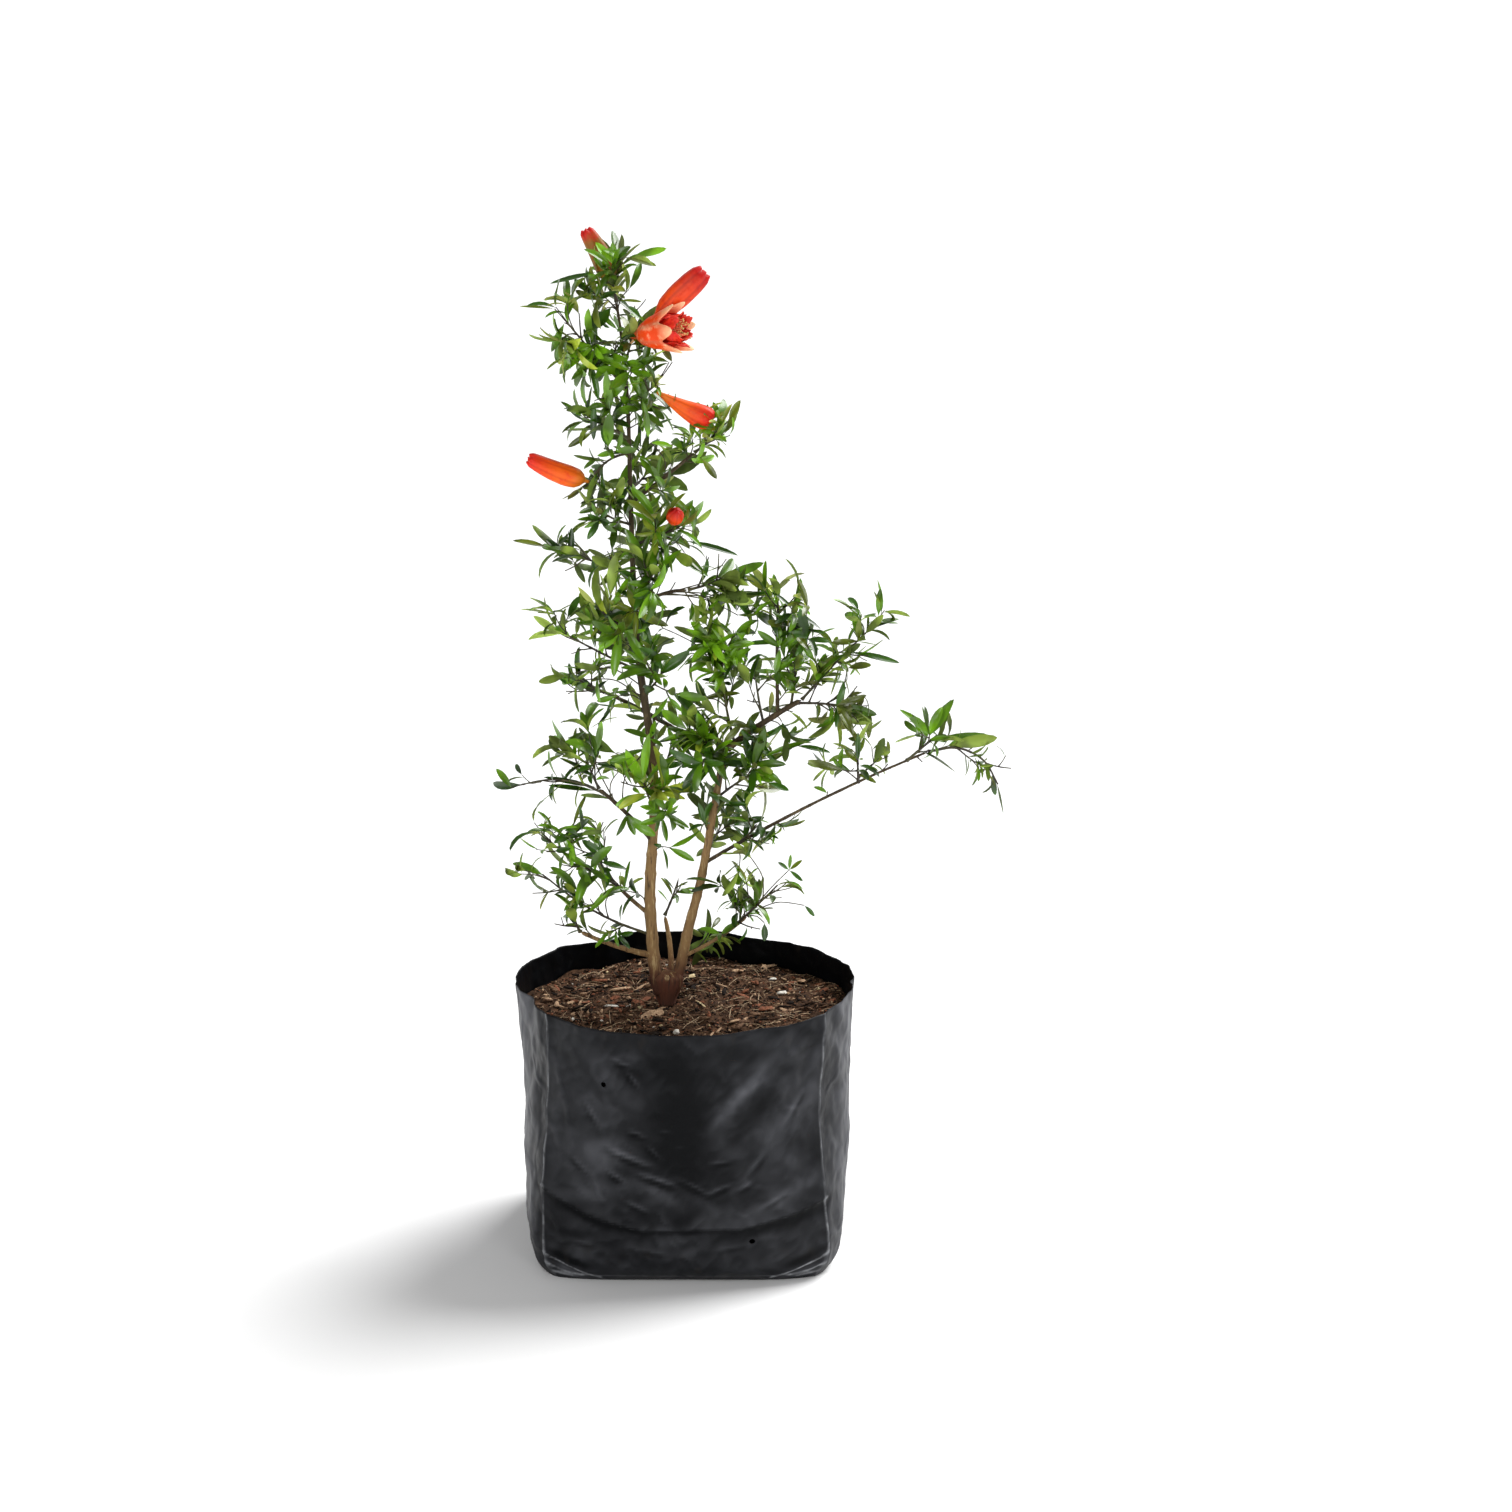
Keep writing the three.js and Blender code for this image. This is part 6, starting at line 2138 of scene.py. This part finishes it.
@dataclass
class Blossom:
    """The closed buds and the open flower."""

    foliage: Foliage
    sepals: int = 6
    flower_on: str = "bloom_spray"
    flower_heading: float = -24.0
    flower_rise: float = 12.0
    flower_size: float = 1.32
    calyx_rings: tuple[tuple[float, float], ...] = (
        (0, 0), (0, 1.3), (3, 2.2), (6, 5.0), (11, 7.6), (17, 9.0), (21, 9.4), (22.5, 9.4),
        (21.5, 8.4), (17, 7.6), (12, 6.0), (9, 0))

    def _skin(self, name: str, root: Vector, ahead: Vector, faces: tuple[int, int], length: float,
              form: Form, scale: float = 1.0) -> bpy.types.Object:
        """Wraps a fleshy skin round an axis, with a lobe for each sepal.

        Args:
            name: the name of the piece.
            root: where the axis starts.
            ahead: its direction.
            faces: the number of faces round the skin and along it.
            length: the length over which its colours run, before scaling.
            form: gives the run, the radius and the bend of shares and lobes.
            scale: the size that its form comes in.

        Returns:
            The piece, marked with `along` and `ridge` for its finish.
        """
        side, over = frame_of(ahead)

        def place(turn: np.ndarray, share: np.ndarray) -> np.ndarray:
            """Puts each grid point on the skin."""
            a = turn * 2 * math.pi
            run, radius, bent = form(share, np.cos(a * self.sepals / 2) ** 2)
            centre = np.outer(run, ahead) + np.outer(bent, over) + np.array(root)
            return centre + np.outer(np.cos(a) * radius, side) + np.outer(np.sin(a) * radius, over)

        bm = bmesh.new()
        along = bm.verts.layers.float.new("along")
        ridge = bm.verts.layers.float.new("ridge")
        for vert in wrapped_grid(bm, *faces, place):
            off = (vert.co - root) / scale
            a = math.atan2(off.dot(over), off.dot(side))
            vert[along] = max(0.0, min(1.0, off.dot(ahead) / length))
            vert[ridge] = (1 - math.cos(a * self.sepals / 2) ** 2) ** 3
        return finish_mesh(bm, name)

    def _bud(self, name: str, row: BudRow, seed: int) -> bpy.types.Object:
        """Builds one closed bud with the grooves between its sepals and its notched tip."""
        knots = np.linspace(0, 1, len(row.form.value))
        runs, reaches = zip(*row.form.value)

        def form(share: np.ndarray, lobe: np.ndarray) -> Bends:
            """Gives the run, the radius and the bend of the bud."""
            run = np.interp(share, knots, runs)
            grown = np.clip((run - 0.3) / 0.7, 0, 1)
            radius = np.interp(share, knots, reaches) * row.radius
            radius = radius * (1 + (0.12 * lobe - 0.07) * grown)
            notch = np.clip((run - 0.9) / 0.1, 0, 1) * (lobe - 0.4) * 0.03 * row.length
            bent = 0.035 * row.length * np.sin(run * math.pi) * math.sin(seed)
            return run * row.length + notch, radius, bent

        return self._skin(name, self.foliage.bud_root(row), direction(row.heading, row.rise),
                          (36, 34), row.length, form)

    def buds(self) -> dict[str, bpy.types.Object]:
        """Builds each closed bud."""
        return {name: self._bud(name, row, seed)
                for seed, (name, row) in enumerate(BUDS.items(), start=2)}

    def _flower_frame(self) -> tuple[Vector, Vector, Vector, Vector]:
        """Returns the open flower's root and axes."""
        root = self.foliage.growths[self.flower_on].route.along(1)[0]
        ahead = direction(self.flower_heading, self.flower_rise)
        return root, ahead, *frame_of(ahead)

    def calyx(self) -> bpy.types.Object:
        """Builds the open flower's fleshy funnel with its spread sepals."""
        root, ahead = self._flower_frame()[:2]
        knots = np.linspace(0, 1, len(self.calyx_rings))
        runs, reaches = zip(*self.calyx_rings)

        def form(share: np.ndarray, lobe: np.ndarray) -> Bends:
            """Gives the run and the radius of the funnel, which is straight."""
            run = np.interp(share, knots, runs)
            rim = np.clip((run - 15) / 7, 0, 1)
            radius = np.interp(share, knots, reaches) * (1 + 0.12 * rim * lobe) + rim * lobe * 2.6
            run = run + rim * (lobe - 0.35) * 8.5
            return run * self.flower_size, radius * self.flower_size, np.zeros_like(run)

        return self._skin("flower_calyx", root, ahead, (60, 44), 30, form, self.flower_size)

    def petals(self) -> bpy.types.Object:
        """Builds the crumpled petals that stand out of the calyx."""
        root, ahead, side, over = self._flower_frame()
        draw = DrawStream(711)
        bm = bmesh.new()
        for k in range(self.sepals):
            a = math.radians(360 * (k + 0.5) / self.sepals + draw.between(-8, 8))
            out = side * math.cos(a) + over * math.sin(a)
            across = ahead.cross(out)
            spread = draw.between(0.35, 0.75)
            made = bmesh.ops.create_grid(bm, x_segments=12, y_segments=12, size=0.5)["verts"]
            for vert in made:
                u = vert.co.x + 0.5
                s = vert.co.y * 2
                half = 6.6 * math.sin(math.pi * min(1, 0.16 + 0.72 * u)) ** 0.6
                crumple = noise.noise(Vector((u * 4, s * 3, k * 5.3)))
                ruffle = noise.noise(Vector((u * 9, s * 7, k * 3.1)))
                reach = 4.2 + 6.5 * u * spread + 1.9 * crumple * u + 0.8 * ruffle * u - 1.6 * s * s
                run = 12 + 17 * u * (1 - 0.25 * s * s) + 1.4 * ruffle
                off = ahead * run + out * reach + across * (s * half)
                vert.co = root + off * self.flower_size
        piece = finish_mesh(bm, "flower_petals")
        wall = piece.modifiers.new("wall", "SOLIDIFY")
        wall.thickness = 0.3 * MM
        settle_modifiers(piece)
        return piece

    def stamens(self) -> tuple[bpy.types.Object, bpy.types.Object]:
        """Builds the filaments and their anthers."""
        root, ahead, side, over = self._flower_frame()
        draw = DrawStream(712)
        strands = Strands("flower_filaments", 0)
        tips = []
        for _ in range(64):
            a = 2 * math.pi * draw()
            reach = 5.6 * math.sqrt(draw())
            out = side * math.cos(a) + over * math.sin(a)
            tip = draw.between(20, 30)
            size = self.flower_size
            foot = root + (ahead * 13 + out * (reach * 0.7)) * size
            mid = root + (ahead * (13 + (tip - 13) * 0.6) + out * reach) * size
            end = root + (ahead * tip + out * (reach * draw.between(0.75, 1.35))) * size
            strands.add([foot, mid, end], [0.22, 0.2, 0.16])
            tips.append(end)
        bm = bmesh.new()
        bmesh.ops.create_icosphere(bm, subdivisions=1, radius=0.5)
        pattern = written(bm, "anther")
        corners = corners_of(pattern)
        places = np.array([corners * draw.between(1.0, 1.5) + np.array(tip) for tip in tips])
        return strands.finish(), tiled_mesh("flower_anthers", pattern, places)


# ------------------------------------------------------------------ studio


@dataclass
class Studio:
    """Pale floor, soft light and the front camera."""

    floor_radius: float = 70.0
    camera_place: tuple[float, float, float] = (0.0465, -2.0940, 0.8599)
    camera_dip: float = VIEW_DIP
    lens: float = 79.3
    front_glow: float = 0.03
    back_glow: float = 0.42
    sun_power: float = 4.5
    sun_softness: float = 42.0
    sun_heading: float = 34.0
    sun_rise: float = 46.0
    lamp_aim: tuple[float, float, float] = (0.0, 0.0, 0.3)
    lamps: tuple[tuple[str, tuple[float, float, float], float, float], ...] = (
        ("front_box", (-0.9, -2.4, 2.2), 1.2, 28), ("right_box", (1.0, -2.2, 0.5), 0.8, 12),
        ("left_box", (-1.1, -2.1, 0.4), 0.6, 6))

    def floor(self) -> None:
        """Lays the pale floor."""
        bm = bmesh.new()
        bmesh.ops.create_circle(bm, cap_ends=True, radius=self.floor_radius, segments=96)
        piece = link_object("floor", written(bm, "floor"))
        s = Surface("pale_floor")
        s.wear(Base_Color=(0.92, 0.92, 0.92, 1.0), Roughness=0.9, Specular_IOR_Level=0.1)
        piece.data.materials.append(s.material)

    def _light(self, name: str, place: tuple[float, float, float], size: float,
               power: float) -> None:
        """Adds a soft area light of a size and a power that faces the plant."""
        lamp = bpy.data.lights.new(name, "AREA")
        lamp.shape = "DISK"
        lamp.size = size
        lamp.energy = power
        made = link_object(name, lamp)
        made.location = place
        aim = Vector(self.lamp_aim) - Vector(place)
        made.rotation_euler = aim.to_track_quat("-Z", "Y").to_euler()
        made.visible_camera = False

    def light(self) -> None:
        """Sets the surroundings, pale behind and dim towards the front, and the lamps."""
        world = bpy.data.worlds.new("studio")
        world.use_nodes = True
        nodes = world.node_tree.nodes
        links = world.node_tree.links
        around = nodes.new("ShaderNodeTexCoord")
        split = nodes.new("ShaderNodeSeparateXYZ")
        links.new(around.outputs["Generated"], split.inputs[0])
        shade = nodes.new("ShaderNodeMapRange")
        span = {"From Min": -0.95, "From Max": 0.35, "To Min": self.front_glow,
                "To Max": self.back_glow}
        for key, value in span.items():
            shade.inputs[key].default_value = value
        links.new(split.outputs[1], shade.inputs["Value"])
        background = nodes["Background"]
        background.inputs["Color"].default_value = (1.0, 1.0, 1.0, 1.0)
        links.new(shade.outputs[0], background.inputs["Strength"])
        bpy.context.scene.world = world
        sun = bpy.data.lights.new("soft_sun", "SUN")
        sun.energy = self.sun_power
        sun.angle = math.radians(self.sun_softness)
        made = link_object("soft_sun", sun)
        aim = -direction(self.sun_heading, self.sun_rise)
        made.rotation_euler = aim.to_track_quat("-Z", "Y").to_euler()
        for lamp in self.lamps:
            self._light(*lamp)

    def camera(self) -> None:
        """Creates the camera and makes it the scene's own."""
        data = bpy.data.cameras.new("front_camera")
        data.lens = self.lens
        data.sensor_width = 36.0
        data.clip_end = 200.0
        made = link_object("front_camera", data)
        made.location = self.camera_place
        made.rotation_euler = (math.radians(90 - self.camera_dip), 0, 0)
        bpy.context.scene.camera = made
        bpy.context.scene.view_settings.view_transform = "Standard"


# ------------------------------------------------------------------ assembly


def dress_bag(bag: NurseryBag) -> None:
    """Builds the bag and its filling."""
    show(bag.build(), "bag_film", FilmFinish().make(), replaces=["nursery_bag"])
    mix = PottingMix(bag)
    show(mix.bed(), "potting_mix", MixFinish().make(), replaces=["potting_mix"])
    barks = [finish.make() for finish in BARKS]
    show(mix.scatter(CHIPS), "potting_mix", *barks)
    show(mix.scatter(FLAKES), "potting_mix", *barks)
    grains = [finish.make() for finish in GRAINS]
    show(mix.marked_pieces(), "potting_mix", *barks, *grains)
    show(mix.scatter(CRUMBS), "potting_mix", *barks)
    show(mix.scatter(PERLITE), "potting_mix", *grains)
    show(mix.coir(), "potting_mix", COIR.make())


def dress_plant(bag: NurseryBag) -> None:
    """Builds the wood, the foliage and the blossom."""
    wood = WoodyStems()
    show(wood.build(), "bark", BarkFinish().make(), replaces=[*STEMS, *BOUGHS])
    show(wood.stub(), "bark", CUT_WOOD.make())
    foliage = Foliage(wood, bag)
    foliage.grow()
    foliage.fit()
    LOG.info("%d leaves", len(foliage.leaves))
    show(foliage.twigs(), "foliage", TWIG_SKIN.make(), replaces=list(SPRAYS))
    for tint, piece in foliage.leaf_pieces().items():
        show(piece, "foliage", *LEAF_FINISHES[tint].make())
    blossom = Blossom(foliage)
    skins = {"top_bud": GREEN, "left_bud": ORANGE, "right_bud": ORANGE}
    skins = {name: skins.get(name, RIPE).make() for name in BUDS}
    for name, piece in blossom.buds().items():
        show(piece, "foliage", skins[name])
    show(blossom.calyx(), "foliage", OPEN.make())
    show(blossom.petals(), "foliage", PETAL.make())
    filaments, anthers = blossom.stamens()
    show(filaments, "foliage", FILAMENT.make())
    show(anthers, "foliage", ANTHER.make())


def main() -> None:
    """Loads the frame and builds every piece."""
    logging.basicConfig(level=logging.INFO, format="%(name)s %(message)s")
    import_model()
    studio = Studio()
    studio.camera()
    bag = NurseryBag()
    dress_bag(bag)
    dress_plant(bag)
    studio.floor()
    studio.light()


if __name__ == "__main__":
    main()
